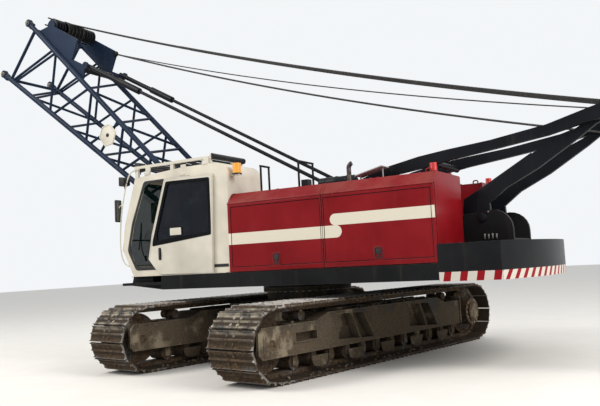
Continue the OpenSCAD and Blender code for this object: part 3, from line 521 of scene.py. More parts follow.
def rope_steel():
    """Greased wire rope: strands cross the rope at a slant."""
    finish = Finish("rope_steel", IOR=1.8)
    x, y, z = (finish.axis(i) for i in range(3))
    strand = ((x * 1.0 + z * 0.55 + y * 1.4) * 330.0).math("SINE") * 0.5 + 0.5
    dirt = finish.noise(5.0, 4.0).ramp(0.35, 0.7)
    shade = finish.mix(strand, srgb(10, 10, 12), srgb(34, 34, 34))
    shade = finish.mix(dirt * 0.5, shade, srgb(26, 24, 22))
    return finish.surface(shade, 0.62 - strand * 0.2, (strand, 0.002), strand * 0.4)


print("machined steel and rope ready")

# %% Glass, vinyl and lamp covers
def tinted_glass():
    """Green safety glass with a dusty film; the sliding door's pane is much darker."""
    finish = Finish("glass", IOR=1.4, Specular_IOR_Level=0.3, Coat_Roughness=0.02)
    film = finish.noise(4.0, 5.0, 0.6).ramp(0.5, 0.8)
    door = finish.axis(1).ramp(1.52, 1.54)
    pane = finish.mix(door, srgb(8, 58, 50), srgb(8, 14, 25))
    shade = finish.mix(film * 0.08, pane, srgb(120, 130, 124))
    finish.feed("Alpha", 0.76 + door * 0.08 + film * 0.08)
    return finish.surface(shade, 0.04 + film * 0.10)


def trim_black():
    """Black plastic and vinyl with a fine grain."""
    finish = Finish("trim_black", IOR=1.45)
    grain = finish.noise(180.0, 3.0)
    wear = finish.noise(5.0, 4.0).ramp(0.45, 0.75)
    shade = finish.mix(wear * 0.5, srgb(24, 24, 26), srgb(62, 60, 56))
    return finish.surface(shade, 0.5 + grain * 0.2, (grain, 0.0008))


def lamp_cover():
    """Amber plastic with moulded ribs, red on the rear lamps, above a cream ledge on the cab."""
    finish = Finish("lamp_amber", IOR=1.5, Coat_Weight=0.6, Coat_Roughness=0.05)
    ribs = (finish.axis(2) * 420.0).math("SINE") * 0.5 + 0.5
    shade = finish.mix(ribs * 0.6, srgb(240, 148, 4), srgb(255, 196, 28))
    rear = finish.axis(0).ramp(-1.9, -2.0)
    ledge = finish.axis(2).ramp(2.7305, 2.7300) * finish.axis(0).ramp(0.0, 0.1)
    shade = finish.coats(shade, (rear, srgb(196, 24, 18)), (ledge, srgb(204, 198, 184)))
    return finish.surface(shade, 0.22 + ribs * 0.1, (ribs, 0.0015))


print("glass, vinyl and lamp covers ready")

# %% Exhaust and sheaves
def exhaust_steel():
    """Heat-stained steel, blue-brown near the mouth."""
    finish = Finish("exhaust_steel", Metallic=0.8, IOR=2.0)
    heat = finish.axis(2).ramp(2.5, 2.8)
    soot = finish.noise(20.0, 5.0).ramp(0.4, 0.7)
    shade = finish.mix(heat, srgb(96, 84, 74), srgb(70, 66, 74))
    shade = finish.mix(soot * 0.7, shade, srgb(30, 27, 25))
    return finish.surface(shade, 0.4 + soot * 0.35, (soot, 0.001))


def sheave_steel():
    """Cast sheaves black with rope grease, rubbed paler at their rims."""
    finish = Finish("sheave_steel", "bare_steel", IOR=1.6, Specular_IOR_Level=0.3)
    grain = finish.noise(40.0, 4.0)
    rubbed = finish.noise(9.0, 4.0).ramp(0.55, 0.75) | (finish.edge(0.004) * 0.7)
    shade = finish.mix(grain, srgb(16, 16, 18), srgb(40, 39, 38))
    shade = finish.mix(rubbed * 0.5, shade, srgb(96, 93, 88))
    return finish.surface(shade, 0.62 - rubbed * 0.2, (grain, 0.001), rubbed * 0.6)


BARE_STEEL = bare_steel()
SHEAVE_STEEL = sheave_steel()
ROPE_STEEL = rope_steel()
GLASS = tinted_glass()
TRIM_BLACK = trim_black()
lamp_cover()
exhaust_steel()
print("finishes:", sorted(Finish.made))

# %% [markdown]
# Two solids wear two paints. A mask of heights and widths tells the shader where the second one
# starts. The black print on the panes mirrors little, and the same near-black is laid in the door
# grooves as painted shade. The heat shield is dull zinc sheet.


# %% Two-tone paints, print and zinc
def two_tone(name, first, second, share_of):
    """A painted finish with a second colour where a mask says so."""
    finish = painted(name, first, 0.34, 0.4, 0.3, 0.2, 0.06)
    finish.feed("Base Color", finish.mix(share_of(finish), finish.colour, second))
    return finish


def under_cab(finish):
    """One on the dark mounts and the rail below the cab's floor."""
    return finish.axis(2).ramp(1.337, 1.333)


def guard_frame(finish):
    """One on the roof guard's cream legs and side rails, nought on its dark bars and roll."""
    x, y, z = (finish.axis(i) for i in range(3))
    rails = abs(abs(y - 1.1045) - 0.3845).ramp(0.030, 0.026)
    return (z.ramp(3.012, 3.009) | rails) * x.ramp(0.640, 0.648)


CAB_PAINT = two_tone("cab_shell_paint", srgb(216, 209, 193), srgb(30, 30, 32), under_cab)
GUARD_PAINT = two_tone("guard_paint", srgb(24, 24, 27), srgb(208, 202, 188), guard_frame)
# near-black print for the pane edge, also used as painted shade in the house door grooves
PRINT_AND_SHADE_BLACK = painted("printed_edge", srgb(8, 9, 14), 0.30, 0.02, 0.0, 0.0, 0.0)
PRINT_AND_SHADE_BLACK.feed("Specular IOR Level", 0.06)
ZINC = painted("zinc_sheet", srgb(172, 173, 174), 0.5, 0.3, 0.1, 0.0, 0.1)
print("paints with two tones, print and zinc ready")

# %% [markdown]
# ## Finishes on the solids
# Each solid has one material slot, and the finishes bear the slots' names. Only the crawlers'
# steel comes in two kinds, one for the shoes and one for the wheels. Eight solids are named with
# the finish that they get.

# %% Put the finishes on
BY_NODE = {
    "left_track": SHOE_STEEL, "right_track": SHOE_STEEL, "cab_shell": CAB_PAINT,
    "roof_guard": GUARD_PAINT, "bracket_sheaves": SHEAVE_STEEL, "gantry_sheaves": SHEAVE_STEEL,
    "backstop_tubes": GANTRY_PAINT, "backstop_rods": GANTRY_PAINT,
}
for part in frame["record"]["subparts"]:
    chosen = BY_NODE.get(part["node"], Finish.made.get(part["material_slot"], WHEEL_STEEL))
    solid = nodes[part["node"]]
    solid.data.materials.clear()
    solid.data.materials.append(chosen.material)

# %% [markdown]
# ## Shapes from closed forms
# Small hardware is mostly plates, bars, tubes and turned parts. One class collects such forms in
# a mesh, each of them closed, and rounds their edges a little, because no real edge is sharp. A
# matrix then takes the mesh from its own simple axes to the machine.


# %% Shape class
class Shape:
    """A mesh that is put together from closed forms."""

    def __init__(self):
        self.mesh = bmesh.new()

    def add(self, points, faces):
        """A closed form from its corners and faces."""
        corners = [self.mesh.verts.new(point) for point in points]
        for face in faces:
            self.mesh.faces.new([corners[i] for i in face])
        return self

    def block(self, x, y, z):
        """A box given by its two ends along each axis."""
        points = [(a, b, c) for a in x for b in y for c in z]
        sides = [(0, 1, 3, 2), (4, 6, 7, 5), (0, 4, 5, 1), (2, 3, 7, 6), (0, 2, 6, 4), (1, 5, 7, 3)]
        return self.add(points, sides)

    def prism(self, outline, y):
        """A side view outline of x and z made into a plate between two places along y."""
        count = len(outline)
        points = [(x, side, z) for side in y for x, z in outline]
        faces = [tuple(range(count)), tuple(range(2 * count - 1, count - 1, -1))]
        for i in range(count):
            after = (i + 1) % count
            faces.append((after, i, i + count, after + count))
        return self.add(points, faces)

    def ring(self, outline, inner, y):
        """A flat frame between two outlines with the same number of corners."""
        count = len(outline)
        points = [(x, side, z) for side in y for x, z in [*outline, *inner]]
        faces = []
        for i in range(count):
            j = (i + 1) % count
            a, b = i + 2 * count, j + 2 * count
            faces.append((i, j, count + j, count + i))
            faces.append((b, a, count + a, count + b))
            faces.append((j, i, a, b))
            faces.append((count + i, count + j, count + b, count + a))
        return self.add(points, faces)

    def skin(self, points, sides):
        """A round skin through rows of corners, closed by a cap at both ends."""
        last = len(points) - sides
        faces = [tuple(range(sides - 1, -1, -1))]
        for row in range(0, last, sides):
            for k in range(sides):
                j = (k + 1) % sides
                faces.append((row + k, row + j, row + sides + j, row + sides + k))
        faces.append(tuple(range(last, len(points))))
        return self.add(points, faces)

    def turned(self, start, end, profile, sides=24):
        """A turned part: rows of share of the way and radius, from one point to another."""
        start, end = Vector(start), Vector(end)
        axis = end - start
        across = axis.orthogonal().normalized()
        third = axis.normalized().cross(across)
        points = []
        for share, radius in profile:
            points += hoop(start + axis * share, across, third, radius, sides)
        return self.skin(points, sides)

    def boss(self, x, z, y, radius, tip, straight=0.0, sides=24):
        """A round plate or stub along y, straight for a share of its way and then narrower."""
        profile = [(0, radius), (straight, radius), (1, tip)] if straight else [(0, radius), (1, tip)]
        return self.turned((x, y[0], z), (x, y[1], z), profile, sides)

    def rod(self, start, end, radius, sides=16):
        """A straight round bar with softened ends."""
        soft = min(0.25, 0.3 * radius / max((Vector(end) - Vector(start)).length, 1e-6))
        profile = [(0, radius * 0.8), (soft, radius), (1 - soft, radius), (1, radius * 0.8)]
        return self.turned(start, end, profile, sides)

    def tube(self, points, radius, sides=10, softness=3):
        """A round bar bent through points, with its corners cut in small steps."""
        way = [Vector(point) for point in points]
        for _ in range(softness):
            cut = [way[0]]
            for first, second in zip(way, way[1:]):
                cut.append(first.lerp(second, 0.25))
                cut.append(first.lerp(second, 0.75))
            way = [*cut, way[-1]]
        along = [(b - a).normalized() for a, b in zip(way, way[1:])]
        along = [along[0], *[(a + b).normalized() for a, b in zip(along, along[1:])], along[-1]]
        across = along[0].orthogonal().normalized()
        corners = []
        for place, ahead in zip(way, along):
            across = (across - ahead * across.dot(ahead)).normalized()
            corners += hoop(place, across, ahead.cross(across), radius, sides)
        return self.skin(corners, sides)

    def piece(self, name, finish, body="upper", matrix=None, soften=0.0, slot=None):
        """The finished object, with its place in its mesh, riding on a body."""
        bmesh.ops.recalc_face_normals(self.mesh, faces=self.mesh.faces)
        if matrix is not None:
            bmesh.ops.transform(self.mesh, matrix=matrix, verts=self.mesh.verts)
            if matrix.determinant() < 0:
                bmesh.ops.reverse_faces(self.mesh, faces=self.mesh.faces)
        data = bpy.data.meshes.new(name)
        self.mesh.to_mesh(data)
        self.mesh.free()
        made = bpy.data.objects.new(name, data)
        scene.collection.objects.link(made)
        data.materials.append(finish.material)
        if soften:
            rounding = made.modifiers.new("soften", "BEVEL")
            rounding.width = soften
            rounding.segments = 2
            rounding.limit_method = "ANGLE"
            rounding.angle_limit = math.radians(40)
            made = plain(made)
        made.data.shade_smooth()
        made.data.set_sharp_from_angle(angle=math.radians(38))
        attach(made, body)
        return made


print("shape class ready")

# %% Circles, outlines and plain meshes
def on_circle(count, radius):
    """Evenly spaced places on a circle, as pairs."""
    turns = [2 * math.pi * k / count for k in range(count)]
    return [(radius * math.cos(turn), radius * math.sin(turn)) for turn in turns]


def hoop(middle, across, third, radius, sides):
    """Corners of a circle in the plane of two directions."""
    return [middle + (across * a + third * b) * radius for a, b in on_circle(sides, 1.0)]


def plain(made):
    """The object with its modifiers worked into a plain mesh."""
    evaluated = made.evaluated_get(bpy.context.evaluated_depsgraph_get())
    data = bpy.data.meshes.new_from_object(evaluated)
    made.modifiers.clear()
    made.data = data
    return made


def grown(outline, by):
    """An outline moved outward all round, corners kept sharp."""
    area = sum(a[0] * b[1] - b[0] * a[1] for a, b in zip(outline, [*outline[1:], outline[0]]))
    out = by if area > 0 else -by
    moved = []
    for i, (x, z) in enumerate(outline):
        before, after = outline[i - 1], outline[(i + 1) % len(outline)]
        first = Vector((x - before[0], z - before[1])).normalized()
        second = Vector((after[0] - x, after[1] - z)).normalized()
        bend = Vector((first.y + second.y, -first.x - second.x)).normalized()
        stretch = out / max(0.3, bend.dot(Vector((first.y, -first.x))))
        moved.append((x + bend.x * stretch, z + bend.y * stretch))
    return moved


def rounded(outline, radius, steps=4):
    """An outline with each corner replaced by a short arc."""
    result = []
    for i, corner in enumerate(outline):
        here = Vector(corner)
        before = Vector(outline[i - 1])
        after = Vector(outline[(i + 1) % len(outline)])
        start = here + (before - here).normalized() * min(radius, (before - here).length * 0.45)
        end = here + (after - here).normalized() * min(radius, (after - here).length * 0.45)
        for k in range(steps + 1):
            share = k / steps
            point = start.lerp(here, share).lerp(here.lerp(end, share), share)
            result.append((point.x, point.y))
    return result


def panel(x0, x1, z0, z1, radius=0.0):
    """A rectangle's outline between two places along x and two along z."""
    corners = [(x0, z0), (x1, z0), (x1, z1), (x0, z1)]
    return rounded(corners, radius) if radius else corners


def edging(outline, outer, inner, radius, inner_radius=None):
    """Two rounded outlines, for a frame that follows an edge."""
    return (rounded(grown(outline, outer), radius),
            rounded(grown(outline, inner), inner_radius or radius))


print("a panel has", len(panel(0, 1, 0, 1)), "sharp corners or a rounded outline of",
      len(panel(0, 1, 0, 1, 0.1)), "points")

# %% [markdown]
# A piece is drawn in simple axes of its own, and a matrix takes it to its place. Each crawler has
# one, and so has the raised boom. The mirror makes a right side from a left one.

# %% Places of the crawlers and the boom
CRAWLER = {}
for side in (1, -1):
    origin = crawler_point(side, 0, 0, 0)
    columns = [crawler_point(side, *axis) - origin for axis in ((1, 0, 0), (0, 1, 0), (0, 0, 1))]
    CRAWLER[side] = Matrix.Translation(origin) @ Matrix(columns).transposed().to_4x4()
BOOM = Matrix.Translation(FOOT) @ Matrix.Rotation(-BOOM_ANGLE, 4, "Y")
SIDES = {1: "left", -1: "right"}
MIRROR = {1: Matrix.Identity(4), -1: Matrix.Scale(-1, 4, (0, 1, 0))}
print("boom tip at", tuple(round(v, 3) for v in BOOM @ Vector((BOOM_L, 0, 0))))

# %% [markdown]
# ## Rows of bolts, teeth and slats with Geometry Nodes
# What repeats is made once and placed on points. A small node tree holds the item and its sizes
# as named inputs. Each point carries the turn that its item takes. The tree ends in Realize
# Instances and Set Material, and the result is kept as a plain mesh.


# %% Geometry Nodes helper
def new_tree(name, sizes):
    """A tree that places an item on each point, and its entry with the sizes as named inputs."""
    tree = bpy.data.node_groups.new(name, "GeometryNodeTree")
    tree.interface.new_socket("Geometry", in_out="INPUT", socket_type="NodeSocketGeometry")
    for label, value in sizes.items():
        socket = tree.interface.new_socket(label, in_out="INPUT", socket_type="NodeSocketFloat")
        socket.default_value = value
    tree.interface.new_socket("Finish", in_out="INPUT", socket_type="NodeSocketMaterial")
    tree.interface.new_socket("Geometry", in_out="OUTPUT", socket_type="NodeSocketGeometry")
    return tree, knot(tree, "NodeGroupInput")


def knot(tree, kind, settings=None, **inputs):
    """A node with its settings and the values or links of its inputs."""
    made = tree.nodes.new(kind)
    for name, value in (settings or {}).items():
        setattr(made, name, value)
    for name, value in inputs.items():
        socket = made.inputs[name.replace("_", " ")]
        if isinstance(value, bpy.types.NodeSocket):
            tree.links.new(value, socket)
        else:
            socket.default_value = value
    return made


def close_tree(tree, entry, item):
    """Places the item on the points, turns it as they say and gives it its finish."""
    turn = knot(tree, "GeometryNodeInputNamedAttribute", {"data_type": "FLOAT_VECTOR"}, Name="turn")
    placed = knot(tree, "GeometryNodeInstanceOnPoints", Points=entry.outputs["Geometry"],
                  Instance=item, Rotation=turn.outputs["Attribute"])
    real = knot(tree, "GeometryNodeRealizeInstances", Geometry=placed.outputs["Instances"])
    painted_item = knot(tree, "GeometryNodeSetMaterial", Geometry=real.outputs["Geometry"],
                        Material=entry.outputs["Finish"])
    knot(tree, "NodeGroupOutput", Geometry=painted_item.outputs["Geometry"])
    return tree


print("tree helpers ready")

# %% Trees for bolts, bars and rope turns
def times(tree, socket, factor):
    """A size times a number, as a link."""
    product = knot(tree, "ShaderNodeMath", {"operation": "MULTIPLY"})
    tree.links.new(socket, product.inputs[0])
    product.inputs[1].default_value = factor
    return product.outputs[0]


def bolt_tree():
    """A hexagon head on a washer."""
    tree, entry = new_tree("bolt_row", {"Head radius": 0.016, "Head height": 0.012})
    head = knot(tree, "GeometryNodeMeshCylinder", Vertices=6,
                Radius=entry.outputs["Head radius"], Depth=entry.outputs["Head height"])
    washer = knot(tree, "GeometryNodeMeshCylinder", Vertices=12,
                  Radius=times(tree, entry.outputs["Head radius"], 1.45),
                  Depth=times(tree, entry.outputs["Head height"], 0.35))
    both = knot(tree, "GeometryNodeJoinGeometry")
    tree.links.new(head.outputs["Mesh"], both.inputs[0])
    tree.links.new(washer.outputs["Mesh"], both.inputs[0])
    return close_tree(tree, entry, both.outputs[0])


def bar_tree():
    """A plain bar with given sizes, for slats, teeth and links."""
    tree, entry = new_tree("bar_row", {"Length": 0.1, "Width": 0.02, "Height": 0.02})
    size = knot(tree, "ShaderNodeCombineXYZ", X=entry.outputs["Length"],
                Y=entry.outputs["Width"], Z=entry.outputs["Height"])
    bar = knot(tree, "GeometryNodeMeshCube", Size=size.outputs[0])
    return close_tree(tree, entry, bar.outputs["Mesh"])


def coil_tree():
    """One turn of rope, for windings on a drum."""
    tree, entry = new_tree("rope_turn_row", {"Turn radius": 0.17, "Rope radius": 0.01})
    circle = knot(tree, "GeometryNodeCurvePrimitiveCircle", Resolution=48,
                  Radius=entry.outputs["Turn radius"])
    section = knot(tree, "GeometryNodeCurvePrimitiveCircle", Resolution=6,
                   Radius=entry.outputs["Rope radius"])
    turn = knot(tree, "GeometryNodeCurveToMesh", Curve=circle.outputs["Curve"],
                Profile_Curve=section.outputs["Curve"])
    return close_tree(tree, entry, turn.outputs["Mesh"])


TREES = {"bolt": bolt_tree(), "bar": bar_tree(), "turn": coil_tree()}
print("trees:", sorted(TREES))


# %% A row of items
def row(name, kind, places, finish, body="upper", **sizes):
    """Items on places: each is a point and the way the item's z axis looks, or a full turn."""
    data = bpy.data.meshes.new(name)
    data.from_pydata([tuple(place) for place, _ in places], [], [])
    turns = data.attributes.new("turn", "FLOAT_VECTOR", "POINT")
    for item, (_, way) in zip(turns.data, places):
        if isinstance(way, Matrix):
            item.vector = way.to_euler()
        else:
            item.vector = Vector(way).to_track_quat("Z", "Y").to_euler()
    made = bpy.data.objects.new(name, data)
    scene.collection.objects.link(made)
    placer = made.modifiers.new("row", "NODES")
    placer.node_group = TREES[kind]
    values = {**sizes, "Finish": finish.material}
    for socket in TREES[kind].interface.items_tree:
        label = socket.name.replace(" ", "_")
        if socket.in_out == "INPUT" and label in values:
            placer[socket.identifier] = values[label]
    made = plain(made)
    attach(made, body)
    print(name, len(places), "items,", len(made.data.polygons), "faces")
    return made


# %% [markdown]
# ## Crawler: bolts and links
# Each shoe is held to the chain by four bolts, and the chain is made of overlapping side links on
# pins. The loop is walked in equal steps, so each bolt follows its own shoe.


# %% Walk round the crawler loop
STRAIGHT = 2 * TRACK_HALF
ARC = math.pi * CHAIN_R
LINK_STEP = 2 * (STRAIGHT + ARC) / SHOES


def chain_pin(i):
    """Place of a link pin in u and z, counted from the front of the lower run."""
    s = (i % SHOES) * LINK_STEP
    if s < STRAIGHT:
        return Vector((s - TRACK_HALF, END_R - CHAIN_R))
    if s < STRAIGHT + ARC:
        a = (s - STRAIGHT) / CHAIN_R
        return Vector((TRACK_HALF + CHAIN_R * math.sin(a), END_R - CHAIN_R * math.cos(a)))
    if s < 2 * STRAIGHT + ARC:
        return Vector((TRACK_HALF - (s - STRAIGHT - ARC), END_R + CHAIN_R))
    a = math.pi + (s - 2 * STRAIGHT - ARC) / CHAIN_R
    return Vector((-TRACK_HALF + CHAIN_R * math.sin(a), END_R - CHAIN_R * math.cos(a)))


def link_steps():
    """Pin, middle, direction and outward direction of each link, in u and z."""
    steps = []
    for i in range(SHOES):
        first, second = chain_pin(i), chain_pin(i + 1)
        ahead = (second - first).normalized()
        steps.append((first, (first + second) / 2, ahead, Vector((ahead.y, -ahead.x))))
    return steps


LINKS = link_steps()
print("links:", len(LINKS), "of", round(LINK_STEP, 4), "m")

# %% Shoe bolts and link plates
BOLT_U, BOLT_V, BOLT_SEAT = 0.052, 0.06, 0.004
CHAIN_IN, LINK_AHEAD, LINK_V = 0.036, 0.015, 0.119
for side, label in SIDES.items():
    body = f"{label}_crawler"
    spin = CRAWLER[side].to_3x3()
    heads, plates = [], []
    for pin, middle, ahead, out in LINKS:
        out3 = spin @ Vector((out.x, 0, out.y))
        ahead3 = spin @ Vector((ahead.x, 0, ahead.y))
        for along in (-BOLT_U, BOLT_U):
            at = middle + ahead * along + out * (SHOE_T + BOLT_SEAT)
            for across in (-BOLT_V, BOLT_V):
                heads.append((CRAWLER[side] @ Vector((at.x, across, at.y)), out3))
        inner = middle - out * CHAIN_IN + ahead * LINK_AHEAD
        link_axes = Matrix((ahead3, ahead3.cross(out3) * -1, out3)).transposed()
        for across in (-LINK_V, LINK_V):
            plates.append((CRAWLER[side] @ Vector((inner.x, across, inner.y)), link_axes))
    row(f"{label}_shoe_bolts", "bolt", heads, SHOE_STEEL, body, Head_radius=0.017, Head_height=0.012)
    row(f"{label}_link_plates", "bar", plates, SHOE_STEEL, body,
        Length=0.235, Width=0.022, Height=0.066)

# %% [markdown]
# The pins of the chain stand out a little at both sides of the links. Each is a short turned stub
# with a chamfered end, and all of one crawler make one piece.

# %% Chain pins
for side, label in SIDES.items():
    pins = Shape()
    for pin, middle, ahead, out in LINKS:
        at = pin - out * CHAIN_IN
        for edge in (-1, 1):
            pins.boss(at.x, at.y, (edge * 0.128, edge * 0.140), 0.019, 0.014, 0.6, 10)
    pins.piece(f"{label}_link_pins", SHOE_STEEL, f"{label}_crawler", CRAWLER[side])
print("chain pins:", 2 * len(LINKS), "a side")

# %% [markdown]
# ## Crawler: hub bolts, idler plates and dried clods
# The final drive ends in a ring of bolts and a small cap. The idler's shaft is held by a plate
# with four bolts. Mud falls off the shoes and dries in lumps on the side frame. The lumps are one
# shape, placed with a fixed seed.

# %% Hub caps, hub bolts and idler plates
RING_BOLT_R, IDLER_BOLT = 0.185, 0.09
for side, label in SIDES.items():
    body = f"{label}_crawler"
    out3 = CRAWLER[side].to_3x3() @ Vector((0, 1, 0))
    hub = Shape()
    hub.boss(-TRACK_HALF, END_R, (0.309, 0.319), 0.125, 0.115, 0.6, 32)
    hub.boss(-TRACK_HALF, END_R, (0.318, 0.330), 0.045, 0.03, 0.7, 6)
    hub.boss(-TRACK_HALF + 0.10, END_R - 0.02, (0.318, 0.330), 0.018, 0.018, 0, 6)
    hub.piece(f"{label}_hub_cap", FRAME_MUD, body, CRAWLER[side], 0.003)
    places = [(-TRACK_HALF + x, 0.288, END_R + z) for x, z in on_circle(14, RING_BOLT_R)]
    for z in (IDLER_BOLT, -IDLER_BOLT):
        places += [(TRACK_HALF + x, 0.272, END_R + z) for x in (IDLER_BOLT, -IDLER_BOLT)]
    ring_bolts = [(CRAWLER[side] @ Vector(at), out3) for at in places]
    row(f"{label}_hub_bolts", "bolt", ring_bolts, FRAME_MUD, body, Head_radius=0.015, Head_height=0.016)
    plate = Shape()
    square = panel(-0.14, 0.14, -0.14, 0.14, 0.05)
    plate.prism([(TRACK_HALF + x, END_R + z) for x, z in square], (0.258, 0.268))
    plate.prism(panel(1.56, 2.04, 0.448, 0.462), (0.17, 0.275))
    plate.boss(1.15, 0.60, (0.259, 0.268), 0.075, 0.07)
    plate.piece(f"{label}_idler_plate", FRAME_MUD, body, CRAWLER[side], 0.002)


# %% Clods of dried mud
def clod_tree():
    """A lump with a rough surface; all lumps have the size of the named input."""
    tree, entry = new_tree("clod_row", {"Clod radius": 0.03})
    ball = knot(tree, "GeometryNodeMeshIcoSphere", Subdivisions=2,
                Radius=entry.outputs["Clod radius"])
    rough = knot(tree, "ShaderNodeTexNoise", Scale=30.0, Detail=2.0)
    push = knot(tree, "ShaderNodeVectorMath", {"operation": "MULTIPLY"})
    tree.links.new(rough.outputs["Color"], push.inputs[0])
    push.inputs[1].default_value = (0.03, 0.03, 0.012)
    moved = knot(tree, "GeometryNodeSetPosition", Geometry=ball.outputs["Mesh"],
                 Offset=push.outputs[0])
    return close_tree(tree, entry, moved.outputs["Geometry"])


TREES["clod"] = clod_tree()


FRAME_CLODS, CHAIN_CLODS = 150, 90
FLAT_TOP, SLOPE_TOP, FLAT_END = 0.77, 0.68, 1.33
FULL_TURN = 6.28


def clods(label, side, seed):
    """Lumps along the top of the side frame and on the chain of the lower run."""
    chance = random.Random(seed)
    places = []
    for _ in range(FRAME_CLODS):
        u = chance.uniform(-2.0, 2.0)
        v = chance.choice((-1, 1)) * chance.uniform(0.02, 0.25)
        top = FLAT_TOP if abs(u) < FLAT_END else SLOPE_TOP
        turn = Matrix.Rotation(chance.uniform(0, FULL_TURN), 3, "Z")
        if FLAT_END <= abs(u) <= 1.62 or abs(abs(u) - 1.75) < 0.1:
            continue
        places.append((CRAWLER[side] @ Vector((u, v, top + 0.002)), turn))
    for _ in range(CHAIN_CLODS):
        u = chance.uniform(-2.2, 2.2)
        v = chance.choice((-1, 1)) * chance.uniform(0.2, 0.36)
        turn = Matrix.Rotation(chance.uniform(0, FULL_TURN), 3, "Z")
        places.append((CRAWLER[side] @ Vector((u, v, 0.045)), turn))
    row(f"{label}_clods", "clod", places, FRAME_MUD, f"{label}_crawler", Clod_radius=0.018)


clods("left", 1, 11)
clods("right", -1, 12)

# %% [markdown]
# ## Slewing ring bolts
# A ring of large bolts holds the lower half of the slewing ring to the carbody.

# %% Slewing ring
ring_places = [((x, y, 1.003), (0, 0, -1)) for x, y in on_circle(44, 0.66)]
row("slewing_ring_bolts", "bolt", ring_places, BARE_STEEL, "carbody",
    Head_radius=0.02, Head_height=0.018)

# %% [markdown]
# ## Cab glass edges, door gear and outside fittings
# The cab is a cream box with dark panes. The sliding door's pane has a wide black printed edge
# and a blank notice plate, and a pull sits in a black cup in front. Rubber frames the front
# opening. Each of these is a flat frame or plate between two outlines. A white grab tube bends
# down beside the front pillar, with a mirror on it and a work lamp at its top.

# %% Cab outlines
WINDOW = [(0.64, 1.91), (1.68, 1.82), (1.70, 1.96), (1.44, 2.73), (0.64, 2.715)]
WINDOW_EDGE = [(0.64, 1.90), (1.745, 1.79), (1.735, 1.86), (1.445, 2.73), (0.64, 2.715)]
DOOR = [(0.63, 1.34), (1.63, 1.35), (1.84, 1.59), (1.76, 1.96), (1.48, 2.79), (0.59, 2.775)]
OPENING = [(1.01, 1.44), (2.13, 1.44), (2.29, 1.74), (2.185, 2.16), (1.92, 2.78), (1.01, 2.78)]
FRONT = [(2.277, 1.50), (2.41, 1.76), (2.345, 2.16), (2.132, 2.79)]
print("cab outlines:", len(WINDOW), len(DOOR), len(OPENING), "corners")

# %% Door trim
CAB_SKIN, DOOR_SKIN = 1.5525, 1.590
seal = Shape().ring(rounded(grown(WINDOW_EDGE, 0.010), 0.03), rounded(grown(WINDOW, -0.034), 0.03),
                    (1.582, 1.5975))
seal.piece("door_pane_edge", PRINT_AND_SHADE_BLACK, "cab_door", slot="trim_black")
notice = Shape().prism(panel(1.185, 1.397, 1.925, 2.032, 0.006), (1.5965, 1.5985))
notice.piece("blank_notice", CREAM_PAINT, "cab_door")
hem = Shape().ring(*edging(DOOR, -0.004, -0.016, 0.03), (DOOR_SKIN, 1.599))
hem.piece("door_hem", CREAM_PAINT, "cab_door")
cup = Shape().prism(panel(1.583, 1.637, 1.565, 1.755, 0.025), (DOOR_SKIN, 1.600))
cup.rod((1.600, 1.612, 1.59), (1.600, 1.612, 1.73), 0.009)
for z in (1.60, 1.72):
    cup.rod((1.600, 1.598, z), (1.600, 1.612, z), 0.007, 10)
cup.piece("door_pull", TRIM_BLACK, "cab_door", soften=0.002)
slot_rail = Shape().prism(panel(0.375, 0.63, 1.418, 1.462, 0.008), (1.546, CAB_SKIN))
slot_rail.piece("door_rear_rail", TRIM_BLACK)
rubber = Shape().ring(*edging(OPENING, 0.014, -0.020, 0.05, 0.17), (1.542, CAB_SKIN))
rubber.piece("opening_seal", TRIM_BLACK)
print("door trim made")

# %% Windscreen seals and wiper
PANE_SIDES = (0.725, 1.484)
RIGHT_PANE = panel(0.70, 1.95, 1.80, 2.75)
PROUD, SEAL_R = 0.004, 0.013
wind = Shape()
for y in PANE_SIDES:
    wind.tube([(x + PROUD, y, z) for x, z in FRONT], SEAL_R, 8, 1)
for x, z in (FRONT[0], (2.387, 1.91), FRONT[-1]):
    wind.rod((x + PROUD, PANE_SIDES[0], z), (x + PROUD, PANE_SIDES[1], z), SEAL_R, 8)
wind.rod((2.34, 1.10, 1.58), (2.36, 1.10, 1.66), 0.02)
wind.tube([(2.38, 1.10, 1.64), (2.425, 1.12, 1.80), (2.375, 1.15, 2.16)], 0.008, 8, 1)
wind.tube([(2.428, 1.17, 1.76), (2.39, 1.165, 1.98), (2.362, 1.16, 2.20)], 0.009, 6, 1)
wind.piece("windscreen_seal", TRIM_BLACK)
side_seal = Shape().ring(*edging(RIGHT_PANE, 0.014, -0.012, 0.05), (0.651, 0.664))
side_seal.piece("right_pane_seal", TRIM_BLACK)
print("windscreen seals and wiper made")

# %% Grab tube and mirrors
MIRROR_X, MIRROR_HALF, MIRROR_YS = 2.440, 0.062, (1.575, 0.745)
grab = Shape()
grab.tube([(2.05, 1.50, 3.00), (2.19, 1.53, 2.99), (2.27, 1.56, 2.86), (2.395, 1.575, 2.35),
           (2.445, 1.575, 1.80), (2.39, 1.56, 1.55), (2.28, 1.545, 1.50)], 0.011, 10)
grab.tube([(2.37, 1.575, 2.45), (2.42, 1.575, 2.46), (2.455, 1.575, 2.40)], 0.009, 8)
grab.tube([(2.31, 0.76, 2.30), (2.38, 0.75, 2.34), (2.45, 0.745, 2.38)], 0.009, 8)
grab.piece("grab_tube", CREAM_PAINT)
mirror, faces = Shape(), Shape()
for y in MIRROR_YS:
    mirror.prism(panel(MIRROR_X, MIRROR_X + 0.040, 2.20, 2.55, 0.018),
                 (y - MIRROR_HALF, y + MIRROR_HALF))
    faces.block((MIRROR_X - 0.0025, MIRROR_X + 0.0005),
                (y - MIRROR_HALF + 0.012, y + MIRROR_HALF - 0.012), (2.22, 2.53))
mirror.piece("mirror_shells", TRIM_BLACK, soften=0.012)
faces.piece("mirror_faces", BARE_STEEL)
print("grab tube and mirrors made")
